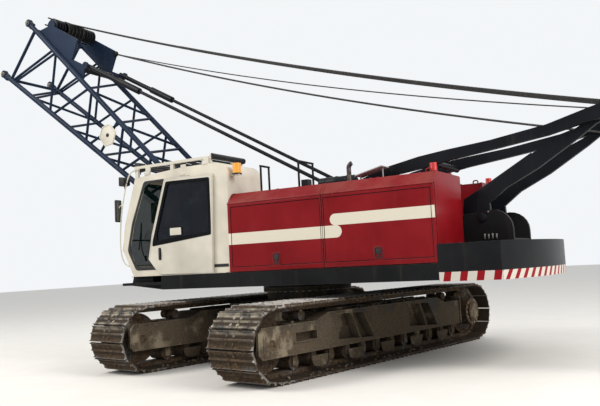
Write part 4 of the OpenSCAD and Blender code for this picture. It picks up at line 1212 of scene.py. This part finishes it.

# %% [markdown]
# Each work lamp is a finned black shell that is taller in front, with a round lens and a stem.
# The roof guard's legs stand on small welded plates, and a dark block at the cab's front foot is
# painted shade that closes the gap under the cab.

# %% Work lamps, guard leg plates and the painted shade block under the cab
lamp_shells, lamp_faces = Shape(), Shape()
for x, y, z in ((2.34, 1.55, 2.83), (2.14, 0.74, 3.05), (2.14, 1.40, 3.05)):
    outline = [(x - 0.055, z - 0.06), (x + 0.045, z - 0.075), (x + 0.045, z + 0.075),
               (x - 0.055, z + 0.06)]
    lamp_shells.prism(rounded(outline, 0.02), (y - 0.075, y + 0.075))
    for k in range(4):
        lamp_shells.block((x - 0.075, x - 0.05), (y - 0.05 + k * 0.03, y - 0.044 + k * 0.03),
                          (z - 0.045, z + 0.045))
    lamp_shells.rod((x - 0.01, y, z - 0.06), (x - 0.01, y, z - 0.115), 0.009, 8)
    lamp_faces.turned((x + 0.044, y, z), (x + 0.054, y, z), [(0, 0.062), (0.5, 0.06), (1, 0.045)])
lamp_shells.piece("work_lamp_shells", TRIM_BLACK, soften=0.003)
lamp_faces.piece("work_lamp_faces", GLASS)
LEGS = ((1.815, 1.915, 2.885, 3.02), (1.115, 1.215, 2.81, 2.975), (0.685, 0.785, 2.925, 3.05))
legs = Shape()
for x0, x1, low, high in LEGS:
    legs.prism(panel(x0, x1, low, high, 0.012), (1.512, 1.522))
    legs.prism(panel(x0, x1, low, low + 0.05, 0.01), (1.518, 1.556))
legs.piece("guard_leg_plates", CREAM_PAINT, soften=0.003)
# painted shade: a dark block in the gap under the cab's front stands for the shadow there
SHADE_SKIRT = [(1.84, 1.236), (2.26, 1.236), (2.23, 1.345), (1.84, 1.345)]
shade_skirt = Shape().prism(rounded(SHADE_SKIRT, 0.015), (0.72, 1.515))
shade_skirt.piece("cab_front_skirt", DECK_PAINT, soften=0.006)
print("cab fittings made")

# %% [markdown]
# ## Inside the cab
# Dark panes still show what is inside: a sprung seat between two lever consoles, pedals, and a
# small screen in front. The seat's cushions are padded, so each is a crowned form that pulls in
# between its corners, rounded by subdivision, with a sewn channel across it.


# %% Seat cushions
def cushion(name, centre, size, tilt=0.0, channel=0.012):
    """A crowned pad with sewn channels, in its own frame and then tilted about y."""
    shape = Shape()
    steps = 8
    grid = {}
    for face_z in (0, 1):
        for i in range(steps + 1):
            for j in range(steps + 1):
                a, b = 2 * i / steps - 1, 2 * j / steps - 1
                pull = 1 - 0.05 * (1 - abs(a)) * abs(b)
                tuck = 1 - 0.05 * (1 - abs(b)) * abs(a)
                crown = (1 - a ** 4) * (1 - b ** 4)
                rise = 0.5 + 0.5 * crown if face_z else -0.5
                if face_z and i in (3, 5):
                    rise -= channel / size[2]
                point = (a * size[0] / 2 * tuck, b * size[1] / 2 * pull, rise * size[2] * 0.5)
                grid[face_z, i, j] = shape.mesh.verts.new(point)
    for i in range(steps):
        for j in range(steps):
            for face_z in (0, 1):
                quad = [grid[face_z, i, j], grid[face_z, i + 1, j],
                        grid[face_z, i + 1, j + 1], grid[face_z, i, j + 1]]
                shape.mesh.faces.new(quad if face_z else quad[::-1])
    rim = [(i, 0) for i in range(steps)] + [(steps, j) for j in range(steps)]
    rim += [(i, steps) for i in range(steps, 0, -1)] + [(0, j) for j in range(steps, 0, -1)]
    for first, second in zip(rim, [*rim[1:], rim[0]]):
        shape.mesh.faces.new([grid[0, *first], grid[0, *second], grid[1, *second], grid[1, *first]])
    place = Matrix.Translation(centre) @ Matrix.Rotation(tilt, 4, "Y")
    made = shape.piece(name, VINYL, "upper", place)
    smooth = made.modifiers.new("smooth", "SUBSURF")
    smooth.levels = 2
    smooth.render_levels = 2
    plain(made)
    return made


def seat_vinyl():
    """Worn woven seat cover, dark grey with a fine weave."""
    finish = Finish("seat_cover", "trim_black", IOR=1.45)
    x, y, z = (finish.axis(i) for i in range(3))
    warp = (y * 1400.0).math("SINE")
    weft = ((x + z) * 1400.0).math("SINE")
    weave = (warp * weft) * 0.5 + 0.5
    worn = finish.noise(7.0, 4.0).ramp(0.45, 0.7)
    shade = finish.mix(weave, srgb(34, 35, 38), srgb(58, 59, 62))
    shade = finish.mix(worn * 0.5, shade, srgb(92, 88, 82))
    return finish.surface(shade, 0.8 - worn * 0.15, (weave, 0.0006))


VINYL = seat_vinyl()
SEAT_Y = 1.10
base_cushion = cushion("seat_cushion", (1.11, SEAT_Y, 1.855), (0.46, 0.44, 0.16), -0.05)
cushion("back_cushion", (0.825, SEAT_Y, 2.22), (0.58, 0.42, 0.13), math.pi / 2 - 0.02)
cushion("head_rest", (0.805, SEAT_Y, 2.50), (0.10, 0.26, 0.09), math.pi / 2)
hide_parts("cab_seat")
print("three cushions made")

# %% Seat base, consoles, levers and screen
SEAT_BASE = [(0.90, 1.40), (1.26, 1.40), (1.20, 1.62), (1.28, 1.80), (0.92, 1.80), (0.96, 1.62)]
CONSOLE = [(0.83, 1.40), (1.47, 1.40), (1.50, 1.86), (1.44, 1.95), (1.20, 2.00), (0.83, 2.00)]
SCREEN = [(2.02, 1.90), (2.06, 1.89), (2.09, 2.12), (2.05, 2.13)]
KNOB = [(0, 0.014), (0.3, 0.024), (0.75, 0.022), (1, 0.010)]
inside = Shape().prism(rounded(SEAT_BASE, 0.02), (0.95, 1.25))
for y in (0.795, 1.335):
    mid = y + 0.035
    inside.prism(rounded(CONSOLE, 0.05), (y, y + 0.07))
    inside.rod((0.86, mid, 2.03), (1.16, mid, 2.03), 0.032)
    for x, top in ((1.26, 1.26 + 0.02), (1.40, 1.40 + 0.03)):
        inside.tube([(x, mid, 1.96), (top, mid, 2.06), (top, mid, 2.13)], 0.010, 8, 1)
        inside.turned((top, mid, 2.11), (top, mid, 2.18), KNOB, 14)
inside.tube([(2.16, 0.86, 1.40), (2.12, 0.86, 1.70), (2.04, 0.90, 1.92)], 0.018, 8, 1)
inside.prism(rounded(SCREEN, 0.01), (0.80, 1.02))
for y in (0.98, 1.10, 1.22):
    inside.prism([(1.95, 1.40), (2.03, 1.52), (2.01, 1.535), (1.93, 1.42)], (y, y + 0.075))
inside.block((1.00, 2.10), (0.74, 1.47), (1.377, 1.386))
inside.piece("cab_inside", TRIM_BLACK, soften=0.004)
print("inside of the cab made")

# %% [markdown]
# ## House doors: pressed borders and latches
# Each side door is a flat sheet with a folded border that stands a few millimetres proud, a groove
# inside the border that is red paint but drawn near-black as painted shade, and a latch with a key
# barrel near its lower edge. One door is drawn and mirrored for the other side. A mirrored mesh is
# inside out, so its faces are turned back.


# %% House doors
def on_side(low, high):
    """Two places along y, counted outward from the doors' sheet."""
    return (SIDE_Y + low, SIDE_Y + high)


GAP = 0.004
DOORS = {"front": (DOOR_SPLIT + GAP, HOUSE_FRONT - GAP), "rear": (HOUSE_REAR + GAP, DOOR_SPLIT - GAP)}
DOOR_LOW, DOOR_HIGH, FOLD_LOW, FOLD_HIGH = 1.342, 2.286, 1.402, 2.255
LATCH_X = {"front": -0.46, "rear": -1.97}
BORDER_IN = {"front": (0.018, 0.048), "rear": (0.034, 0.018)}
for side, label in SIDES.items():
    for place, (x0, x1) in DOORS.items():
        body = f"{label}_{place}_door"
        x = LATCH_X[place]
        outer = panel(x0 + GAP, x1 - GAP, DOOR_LOW, DOOR_HIGH)
        inner = panel(x0 + BORDER_IN[place][0], x1 - BORDER_IN[place][1], FOLD_LOW, FOLD_HIGH)
        border = Shape().ring(outer, inner, on_side(-0.002, 0.005))
        border.prism(panel(x - 0.075, x + 0.075, 1.405, 1.585, 0.03), on_side(-0.002, 0.004))
        border.piece(f"{body}_border", HOUSE_PAINT, body, MIRROR[side], 0.002)
        # painted shade: the groove is red paint, drawn in the near-black print finish for the shade in
        # the recess
        shaded_groove = Shape().ring(grown(inner, 0.001), grown(inner, -0.009), on_side(-0.002, 0.0015))
        shaded_groove.piece(f"{body}_groove", PRINT_AND_SHADE_BLACK, body, MIRROR[side], slot="house_red")
        latch = Shape()
        latch.ring(panel(x - 0.052, x + 0.052, 1.425, 1.565, 0.02),
                   panel(x - 0.040, x + 0.040, 1.437, 1.553, 0.015), on_side(0.002, 0.010))
        latch.prism(panel(x - 0.032, x + 0.032, 1.475, 1.545, 0.01), on_side(0.002, 0.012))
        latch.boss(x, 1.455, on_side(0.003, 0.013), 0.013, 0.009, 0.8, 16)
        latch.piece(f"{body}_latch", TRIM_BLACK, body, MIRROR[side], 0.0015)
print("door borders, grooves and latches made")

# %% Louvres on the right doors
SLAT_STEP = 0.055
lean = Matrix.Rotation(math.radians(-35), 3, "X")
for place, (x0, x1) in DOORS.items():
    slats = []
    for k in range(9):
        slats.append((((x0 + x1) / 2, -SIDE_Y - 0.006, 1.72 + k * SLAT_STEP), lean))
    row(f"right_{place}_louvres", "bar", slats, HOUSE_PAINT, f"right_{place}_door",
        Length=0.82, Width=0.026, Height=0.004)

# %% [markdown]
# ## House roofs
# The roofs have pressed seams, hatches with a bow handle and lifting eyes. An air cleaner lies on
# the left roof in two clamps, with a zinc heat shield behind it. Fins and grille are rows of bars.

# %% Seams, hatches and lifting eyes
LAID_FLAT = Matrix(((1, 0, 0, 0), (0, 0, 1, 0), (0, 1, 0, 0), (0, 0, 0, 1)))
LIDS = {1: ((-2.45, -2.10), (-1.75, -1.45)), -1: ((-2.35, -1.35), (-1.0, -0.1))}
SKIN = HOUSE_HIGH
for side, label in SIDES.items():
    roof = Shape()
    for x in (HOUSE_REAR + 0.02, -1.95, DOOR_SPLIT, -0.43, HOUSE_FRONT - 0.02):
        roof.block((x - 0.018, x + 0.018), (HOUSE_INNER + 0.01, SIDE_Y - EAVE_IN - 0.01),
                   (SKIN - 0.003, SKIN + 0.007))
    for x0, x1 in LIDS[side]:
        lid = Shape().prism(panel(x0, x1, 0.72, 1.30, 0.05), (SKIN - 0.002, SKIN + 0.022))
        lid.piece(f"{label}_roof_lid_{abs(int(x0 * 100))}", HOUSE_PAINT, "upper",
                  MIRROR[side] @ LAID_FLAT, 0.006)
        x = x0 + 0.08
        roof.tube([(x, 0.95, SKIN + 0.015), (x, 0.96, SKIN + 0.055), (x, 1.07, SKIN + 0.055),
                   (x, 1.08, SKIN + 0.015)], 0.008, 8, 2)
    for x in (DOOR_SPLIT - 0.023, DOOR_SPLIT + 0.023):
        roof.rod((x, SIDE_Y + 0.001, EAVE_Z), (x, SIDE_Y - EAVE_IN, SKIN + 0.001), 0.005, 8)
    for x in (HOUSE_REAR + 0.12, HOUSE_FRONT - 0.14):
        eyes = 1 if side > 0 and x > 0 else 2
        for y in (HOUSE_INNER + 0.09, SIDE_Y - EAVE_IN - 0.08)[:eyes]:
            roof.tube([(x - 0.035, y, SKIN - 0.002), (x - 0.035, y, SKIN + 0.05),
                       (x + 0.035, y, SKIN + 0.05), (x + 0.035, y, SKIN - 0.002)], 0.010, 8, 2)
    roof.piece(f"{label}_roof_fittings", HOUSE_PAINT, "upper", MIRROR[side], 0.002)
print("roof fittings made")

# %% Air cleaner and heat shield
CLEANER_Y, CLEANER_Z = 0.66, 2.548
CLEANER = [(0, 0.05), (0.02, 0.084), (0.05, 0.088), (0.44, 0.088), (0.45, 0.094), (0.50, 0.094),
           (0.51, 0.086), (0.96, 0.086), (1, 0.06)]
cleaner = Shape().turned((-0.68, CLEANER_Y, CLEANER_Z), (-1.28, CLEANER_Y, CLEANER_Z), CLEANER, 28)
for x in (-0.80, -1.14):
    cleaner.block((x - 0.02, x + 0.02), (0.60, 0.72), (SKIN - 0.002, SKIN + 0.03))
    cleaner.turned((x - 0.012, CLEANER_Y, CLEANER_Z), (x + 0.012, CLEANER_Y, CLEANER_Z),
                   [(0, 0.092), (1, 0.092)], 28)
cleaner.piece("air_cleaner", GANTRY_PAINT, soften=0.002, slot="trim_black")
SHIELD = [(-1.32, 2.60), (-1.74, 2.70), (-1.745, 2.685), (-1.325, 2.585)]
shield = Shape().prism(SHIELD, (0.56, 0.82))
for x, top in ((-1.36, 2.60), (-1.70, 2.685)):
    shield.rod((x, 0.69, SKIN - 0.002), (x, 0.69, top), 0.012, 8)
shield.piece("heat_shield", ZINC, soften=0.002, slot="bare_steel")
print("air cleaner and heat shield made")

# %% Roof vent and radiator grille
fins = [((-0.90 + k * 0.016, 1.36, SKIN + 0.045), Matrix.Identity(3)) for k in range(7)]
row("roof_vent_fins", "bar", fins, TRIM_BLACK, Length=0.005, Width=0.11, Height=0.095)
lean = Matrix.Rotation(math.radians(30), 3, "Y")
grille = [((-1.85 + k * 0.045 - 0.42, -1.01, SKIN + 0.028), lean) for k in range(20)]
row("radiator_grille", "bar", grille, TRIM_BLACK, Length=0.006, Width=0.50, Height=0.022)

# %% [markdown]
# ## Winches
# Rope lies on the drums in close turns. Each turn is a ring on the drum, placed on a row of
# points, so the count and the rope's size stay easy to change. Motors sit outside the frames.

# %% Rope turns on the drums
DRUMS = {"front_drum": (-0.12, 0.17), "rear_drum": (-1.25, 0.17), "boom_hoist_drum": (-1.95, 0.15)}
DRUM_Z, TURN_STEP, DRUM_ROPE_R = 1.80, 0.0225, 0.011
LAYERS = (("rope", -0.292, 27, 0.010), ("rope_top", -0.281, 17, 0.029))
for name, (x, radius) in DRUMS.items():
    for layer, y, count, lift in LAYERS:
        turns = [((x, y + k * TURN_STEP, DRUM_Z), (0, 1, 0)) for k in range(count)]
        row(f"{name}_{layer}", "turn", turns, ROPE_STEEL, name,
            Turn_radius=radius + lift, Rope_radius=DRUM_ROPE_R)
    flange = Shape()
    for edge in (-1, 1):
        flange.boss(x, DRUM_Z, (edge * 0.339, edge * 0.346), 0.19, 0.17, 0.5, 40)
    flange.piece(f"{name}_flange_rings", MACHINE_PAINT, name)

# %% Winch motors and their bolts
motors = Shape()
motor_bolts = []
for x, _ in DRUMS.values():
    motors.boss(x, DRUM_Z, (-0.405, -0.47), 0.13, 0.11, 0.6, 32)
    motors.block((x - 0.06, x + 0.06), (-0.50, -0.46), (1.74, 1.86))
    motors.boss(x, DRUM_Z, (0.405, 0.425), 0.12, 0.11, 0, 32)
    for u, v in on_circle(10, 0.09):
        motor_bolts.append(((x + u, 0.427, DRUM_Z + v), (0, 1, 0)))
motors.piece("winch_motors", MACHINE_PAINT, soften=0.004)
row("winch_bolts", "bolt", motor_bolts, BARE_STEEL, Head_radius=0.011, Head_height=0.012)

# %% [markdown]
# ## Boom hoist ropes
# The solids hold the rope parts straight. Real parts hang a little between their sheaves and draw
# together towards the boom, so each half is made again from single ropes. Two hoist ropes run from
# the far bracket plate to the gantry. They are split like the reeving, so each half turns with it.

# %% Places of the boom gear
ALONG_BOOM = {"end_frame": BOOM_L - 0.25, "bridle": BOOM_L - 0.53, "stop": BOOM_L - 1.832}
BRACKET_RISE = 0.302
FOOT_HALF, HEAD_HALF = 0.115, 0.585


def chord_h(s):
    """Half depth of the boom at a place along it."""
    return FOOT_HALF + (HEAD_HALF - FOOT_HALF) * s / BOOM_L


def shifted(place, y):
    """A place moved along y."""
    return place + Vector((0, y, 0))


BRIDLE = boom_point(ALONG_BOOM["bridle"], 0, chord_h(ALONG_BOOM["bridle"]) + BRACKET_RISE)
SHEAVE_R, ROPE_R, ROPE_PITCH = 0.13, 0.009, 0.09
ROPE_SAG, ROPE_HALF = 0.16, 7.3
DRAWN_REAR, DRAWN_FRONT = 0.8, 0.5
print("bridle at", tuple(round(v, 3) for v in BRIDLE))


# %% Hanging ropes
def rope_half(shape, first, second, reach, radius):
    """A rope that hangs between two ends, made from the first end over a share of its way."""
    way = []
    for k in range(19):
        share = reach * k / 18
        point = first.lerp(second, share)
        point.z -= 4 * ROPE_SAG * share * (1 - share)
        way.append(point)
    shape.tube(way, radius, 8, 0)


span = BRIDLE - HEAD
on_sheave = Vector((-span.z, 0, span.x)).normalized() * (SHEAVE_R + ROPE_R)
for label, count in (("rear", 6), ("front", 5)):
    ropes = Shape()
    for i in range(count):
        y = (i - (count - 1) / 2) * ROPE_PITCH
        ends = [shifted(HEAD + on_sheave, y * DRAWN_REAR),
                shifted(BRIDLE + on_sheave, y * DRAWN_FRONT)]
        first, second = ends if label == "rear" else ends[::-1]
        rope_half(ropes, first, second, ROPE_HALF / span.length, ROPE_R)
    made = ropes.piece(f"reeving_{label}_ropes", ROPE_STEEL, f"reeving_{label}")
    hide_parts(f"reeving_{label}")
HOIST_LUG, HOIST_SHARE = Vector((4.45, -0.50, 5.79)), 0.56
HOIST_ENDS = ((HEAD + Vector((0.1, -0.33, 0.14)), 0.010),
              (HEAD + Vector((0.05, -0.33, -0.20)), 0.016))
for label in ("rear", "front"):
    ropes = Shape()
    for end, radius in HOIST_ENDS:
        first, second = (end, HOIST_LUG) if label == "rear" else (HOIST_LUG, end)
        rope_half(ropes, first, second, HOIST_SHARE, radius)
    ropes.piece(f"hoist_ropes_{label}", ROPE_STEEL, f"reeving_{label}")
print("ropes hang", ROPE_SAG, "m; reeving", round(span.length, 2), "m from axle to axle")

# %% [markdown]
# The bracket's sheaves get thin rims on both faces. Stacks of spacer discs fill the axle's ends,
# three rods across the bracket keep the ropes in their grooves, and a thimble ends the hoist rope.

# %% Sheave rims and guards
DISC = [(0, 0.128), (0.2, 0.138), (0.8, 0.138), (1, 0.128)]
rims = Shape()
for i in range(5):
    for edge in (-1, 1):
        near = shifted(BRIDLE, (i - 2) * ROPE_PITCH + edge * 0.0285 - 0.003)
        rims.turned(near, shifted(near, 0.006), [(0, 0.150), (0.5, 0.153), (1, 0.150)], 36)
rims.piece("bracket_sheave_rims", SHEAVE_STEEL, "bracket_sheaves")
guard = Shape()
for side in (-1, 1):
    for k in range(4):
        near = shifted(BRIDLE, side * (0.265 + k * 0.066))
        guard.turned(near, shifted(near, side * 0.034), DISC, 32)
    guard.turned(shifted(BRIDLE, side * 0.23), shifted(BRIDLE, side * 0.487), [(0, 0.085), (1, 0.085)])
for degrees in (-35, 15, 62):
    angle = math.radians(degrees)
    at = BRIDLE + Vector((math.cos(angle), 0, math.sin(angle))) * 0.185
    guard.rod(shifted(at, -0.52), shifted(at, 0.52), 0.013)
guard.turned(shifted(HOIST_LUG, -0.012), shifted(HOIST_LUG, 0.035),
             [(0, 0.055), (0.3, 0.055), (0.5, 0.040), (1, 0.055)])
guard.piece("bracket_guards", GANTRY_PAINT, "boom", soften=0.002, slot="boom_blue")
print("sheave rims and guards made")

# %% [markdown]
# ## Boom fittings
# The end bays have doubled lacing. An angular cream plate with a dark hub sits on a post at the
# near side. Between the bracket plates runs a cross beam with two pale pipes clipped to it, and the
# four connecting lugs hold pins with heads and retaining rings.

# %% Lacing and side plate
LACE_R, LACE_GAP, LACE_IN = 0.024, 0.085, 0.03
END_FRAME = ALONG_BOOM["end_frame"]
near_s = END_FRAME - 2 * LACE_R - LACE_GAP
far_s = END_FRAME - 1.32 * chord_h(END_FRAME) + 2 * LACE_R - LACE_GAP
near_h, far_h = chord_h(near_s + LACE_GAP), chord_h(far_s + LACE_GAP)
lacing = Shape()
for side in (-1, 1):
    lacing.rod((near_s, side * CHORD_Y, -near_h + LACE_IN),
               (far_s, side * CHORD_Y, far_h - LACE_IN), LACE_R)
    lacing.rod((near_s, -CHORD_Y + LACE_IN, side * near_h),
               (far_s, CHORD_Y - LACE_IN, side * far_h), LACE_R)
PLATE_S, PLATE_H, PLATE_R = 3.457, 0.03, 0.215
post_h = chord_h(PLATE_S) - LACE_IN
lacing.rod((PLATE_S, CHORD_Y, -post_h), (PLATE_S, CHORD_Y, post_h), LACE_R)
lacing.piece("end_bay_lacing", BOOM_PAINT, "boom", BOOM)
corners = []
for degrees in (10, 62, 130, 196, 250, 316):
    angle = math.radians(degrees)
    corners.append((PLATE_S + PLATE_R * math.cos(angle), PLATE_H + PLATE_R * math.sin(angle)))
disc = Shape().prism(rounded(corners, 0.03), (CHORD_Y + 0.045, CHORD_Y + 0.057))
disc.ring(*edging(corners, -0.012, -0.024, 0.03), (CHORD_Y + 0.055, CHORD_Y + 0.064))
disc.piece("boom_side_plate", CREAM_PAINT, "boom", BOOM, 0.003)
hub = Shape().turned((PLATE_S, CHORD_Y + 0.01, PLATE_H), (PLATE_S, CHORD_Y + 0.075, PLATE_H),
                     [(0, 0.035), (0.8, 0.035), (0.85, 0.03), (1, 0.02)])
hub.piece("boom_side_hub", TRIM_BLACK, "boom", BOOM)
print("lacing and side plate made")

# %% Lug pins, cross beam, pipes and foot caps
lug_pins = Shape()
for y in (-CHORD_Y, CHORD_Y):
    for h in (-1, 1):
        at = Vector((BOOM_L, y, h * chord_h(BOOM_L)))
        ring_at = at + Vector((0.02, -0.062, 0))
        lug_pins.rod(shifted(at, -0.075), shifted(at, 0.075), 0.031)
        lug_pins.turned(shifted(at, 0.034), shifted(at, 0.052), [(0, 0.048), (1, 0.044)], 20)
        lug_pins.rod(ring_at + Vector((0, 0, -0.055)), ring_at + Vector((0, 0, 0.055)), 0.006, 8)
lug_pins.piece("lug_pins", BARE_STEEL, "boom", BOOM)
beam_s = ALONG_BOOM["stop"] + 0.165
beam_h = chord_h(beam_s) + 0.075
beam = Shape().block((beam_s - 0.03, beam_s + 0.03), (-0.487, 0.487), (beam_h - 0.04, beam_h + 0.04))
for y in (-0.3, 0.0, 0.3):
    beam.block((beam_s - 0.045, beam_s + 0.04), (y - 0.02, y + 0.02), (beam_h + 0.035, beam_h + 0.085))
beam.piece("bracket_cross_beam", GANTRY_PAINT, "boom", BOOM, 0.006, slot="boom_blue")
pipes = Shape()
for s in (beam_s - 0.018, beam_s - 0.018 + 0.034):
    pipes.tube([(s, y, beam_h + 0.066) for y in (0.36, 0.30, -0.30, -0.36)], 0.010, 8, 1)
pipes.piece("bracket_pipes", BARE_STEEL, "boom", BOOM)
foot_caps = Shape()
for side in (-1, 1):
    foot_caps.boss(0, 0, (side * 0.632, side * 0.665), 0.10, 0.085, 0.8, 28)
foot_caps.piece("boom_foot_caps", DECK_PAINT, "upper", BOOM, 0.003)
print("boom fittings made")

# %% [markdown]
# ## Gantry fittings
# The pins end in caps with keeper plates. A gusset widens each strut towards its foot, and four
# short bolts stand in a row on each tail plate. The rear lamps and the beacon sit on black rings.

# %% Gantry caps, gussets and lamp rings
PINS = ((-0.95, 2.40, 0.508), (-2.99, 1.89, 0.488), (HEAD.x, HEAD.z, 0.508))
FOOT_GUSSET = [(-3.66, 2.68), (-3.02, 2.31), (-2.735, 2.155), (-2.715, 1.96), (-2.90, 1.92),
               (-3.10, 2.20), (-3.62, 2.60)]
for side, label in SIDES.items():
    caps, keepers = Shape(), []
    for x, z, y in PINS:
        caps.boss(x, z, (y, y + 0.028), 0.062, 0.05, 0.8, 28)
        caps.block((x - 0.11, x + 0.02), (y, y + 0.012), (z + 0.058, z + 0.085))
        keepers.append((MIRROR[side] @ Vector((x - 0.088, y + 0.016, z + 0.0715)), (0, side, 0)))
    caps.piece(f"{label}_gantry_caps", GANTRY_PAINT, "upper", MIRROR[side], 0.002)
    stubs = Shape()
    for k in range(4):
        x = -3.005 - k * 0.052
        stubs.rod((x, 0.497, 1.600), (x, 0.497, 1.676 - 0.006 * (k % 2)), 0.013)
    stubs.piece(f"{label}_tail_bolts", BARE_STEEL, "upper", MIRROR[side], 0.002)
    row(f"{label}_gantry_keepers", "bolt", keepers, BARE_STEEL, Head_radius=0.009, Head_height=0.010)
    gusset = Shape().prism(FOOT_GUSSET, (0.362, 0.427))
    gusset.piece(f"{label}_strut_gusset", GANTRY_PAINT, "upper", MIRROR[side], 0.004)
REAR_LAMP_X, BEACON_SEAT = HOUSE_REAR + 0.10, CAB_TOP - 0.2
rings = Shape()
for x, y, z, radius in ((REAR_LAMP_X, 1.25, HOUSE_HIGH, 0.056), (REAR_LAMP_X, -1.25, HOUSE_HIGH, 0.056),
                        (0.24, 1.444, BEACON_SEAT, 0.070)):
    profile = [(0, radius), (0.7, radius), (1, radius - 0.008)]
    rings.turned((x, y, z - 0.002), (x, y, z + 0.022), profile, 32)
rings.piece("lamp_rings", TRIM_BLACK)
print("gantry fittings and lamp rings made")

# %% [markdown]
# ## Crawler: guards and slide rails
# Guard plates hang from the side frame between the rollers, so that stones don't jam them. The
# upper run slides over two low rails.

# %% Guards and rails on the side frames
GUARD_PLACES = (-1.52, -0.76, 0.0, 0.76, 1.52)
for side, label in SIDES.items():
    guards = Shape()
    for u in GUARD_PLACES:
        for v in (-0.215, 0.215):
            outline = [(u - 0.17, 0.245), (u - 0.13, 0.125), (u - 0.05, 0.105), (u + 0.05, 0.105),
                       (u + 0.13, 0.125), (u + 0.17, 0.245)]
            guards.prism(rounded(outline, 0.02), (v - 0.012, v + 0.012))
    for v in (-0.10, 0.10):
        rail = [(-1.36, 0.70), (-1.22, 0.80), (1.22, 0.80), (1.36, 0.70)]
        guards.prism(rail, (v - 0.022, v + 0.022))
    guards.piece(f"{label}_roller_guards", FRAME_MUD, f"{label}_crawler", CRAWLER[side], 0.003)
print("guards at", GUARD_PLACES)

# %% [markdown]
# ## Deck: tread bars
# Against slipping, the deck carries raised bars in a herringbone, every second one turned the
# other way. They lie in front of the cab and on the right wing.

# %% Tread
TREAD_STEP = 0.062
WINGS = ((1.90, 2.37, 0.68, 1.57, 1.2405), (0.37, 1.24, -1.57, -0.70, 1.3305))
tread = []
for x_from, x_to, y_from, y_to, top in WINGS:
    for i in range(int((x_to - x_from) / TREAD_STEP)):
        for j in range(int((y_to - y_from) / TREAD_STEP)):
            turn = Matrix.Rotation(math.radians(45 if (i + j) % 2 else -45), 3, "Z")
            tread.append(((x_from + i * TREAD_STEP, y_from + j * TREAD_STEP, top), turn))
row("deck_tread", "bar", tread, DECK_PAINT, Length=0.040, Width=0.007, Height=0.005)

# %% [markdown]
# ## Floor
# A pale floor that ends far outside the picture. It isn't part of the machine, and it lies a
# millimetre low, so that no shoe shares a plane with it.

# %% Floor
floor_finish = Finish("floor", Roughness=0.9)
speckle = floor_finish.noise(2.0, 8.0, 0.7)
floor_finish.feed("Base Color", floor_finish.mix(speckle, srgb(222, 218, 210), srgb(236, 233, 228)))
FLOOR_HALF = 60
floor_mesh = bpy.data.meshes.new("floor")
floor_corners = [(x, y, 0) for x, y in panel(-FLOOR_HALF, FLOOR_HALF, -FLOOR_HALF, FLOOR_HALF)]
floor_mesh.from_pydata(floor_corners, [], [(0, 1, 2, 3)])
floor_mesh.materials.append(floor_finish.material)
floor = bpy.data.objects.new("floor", floor_mesh)
floor.location.z = -0.001
scene.collection.objects.link(floor)
print("floor laid")
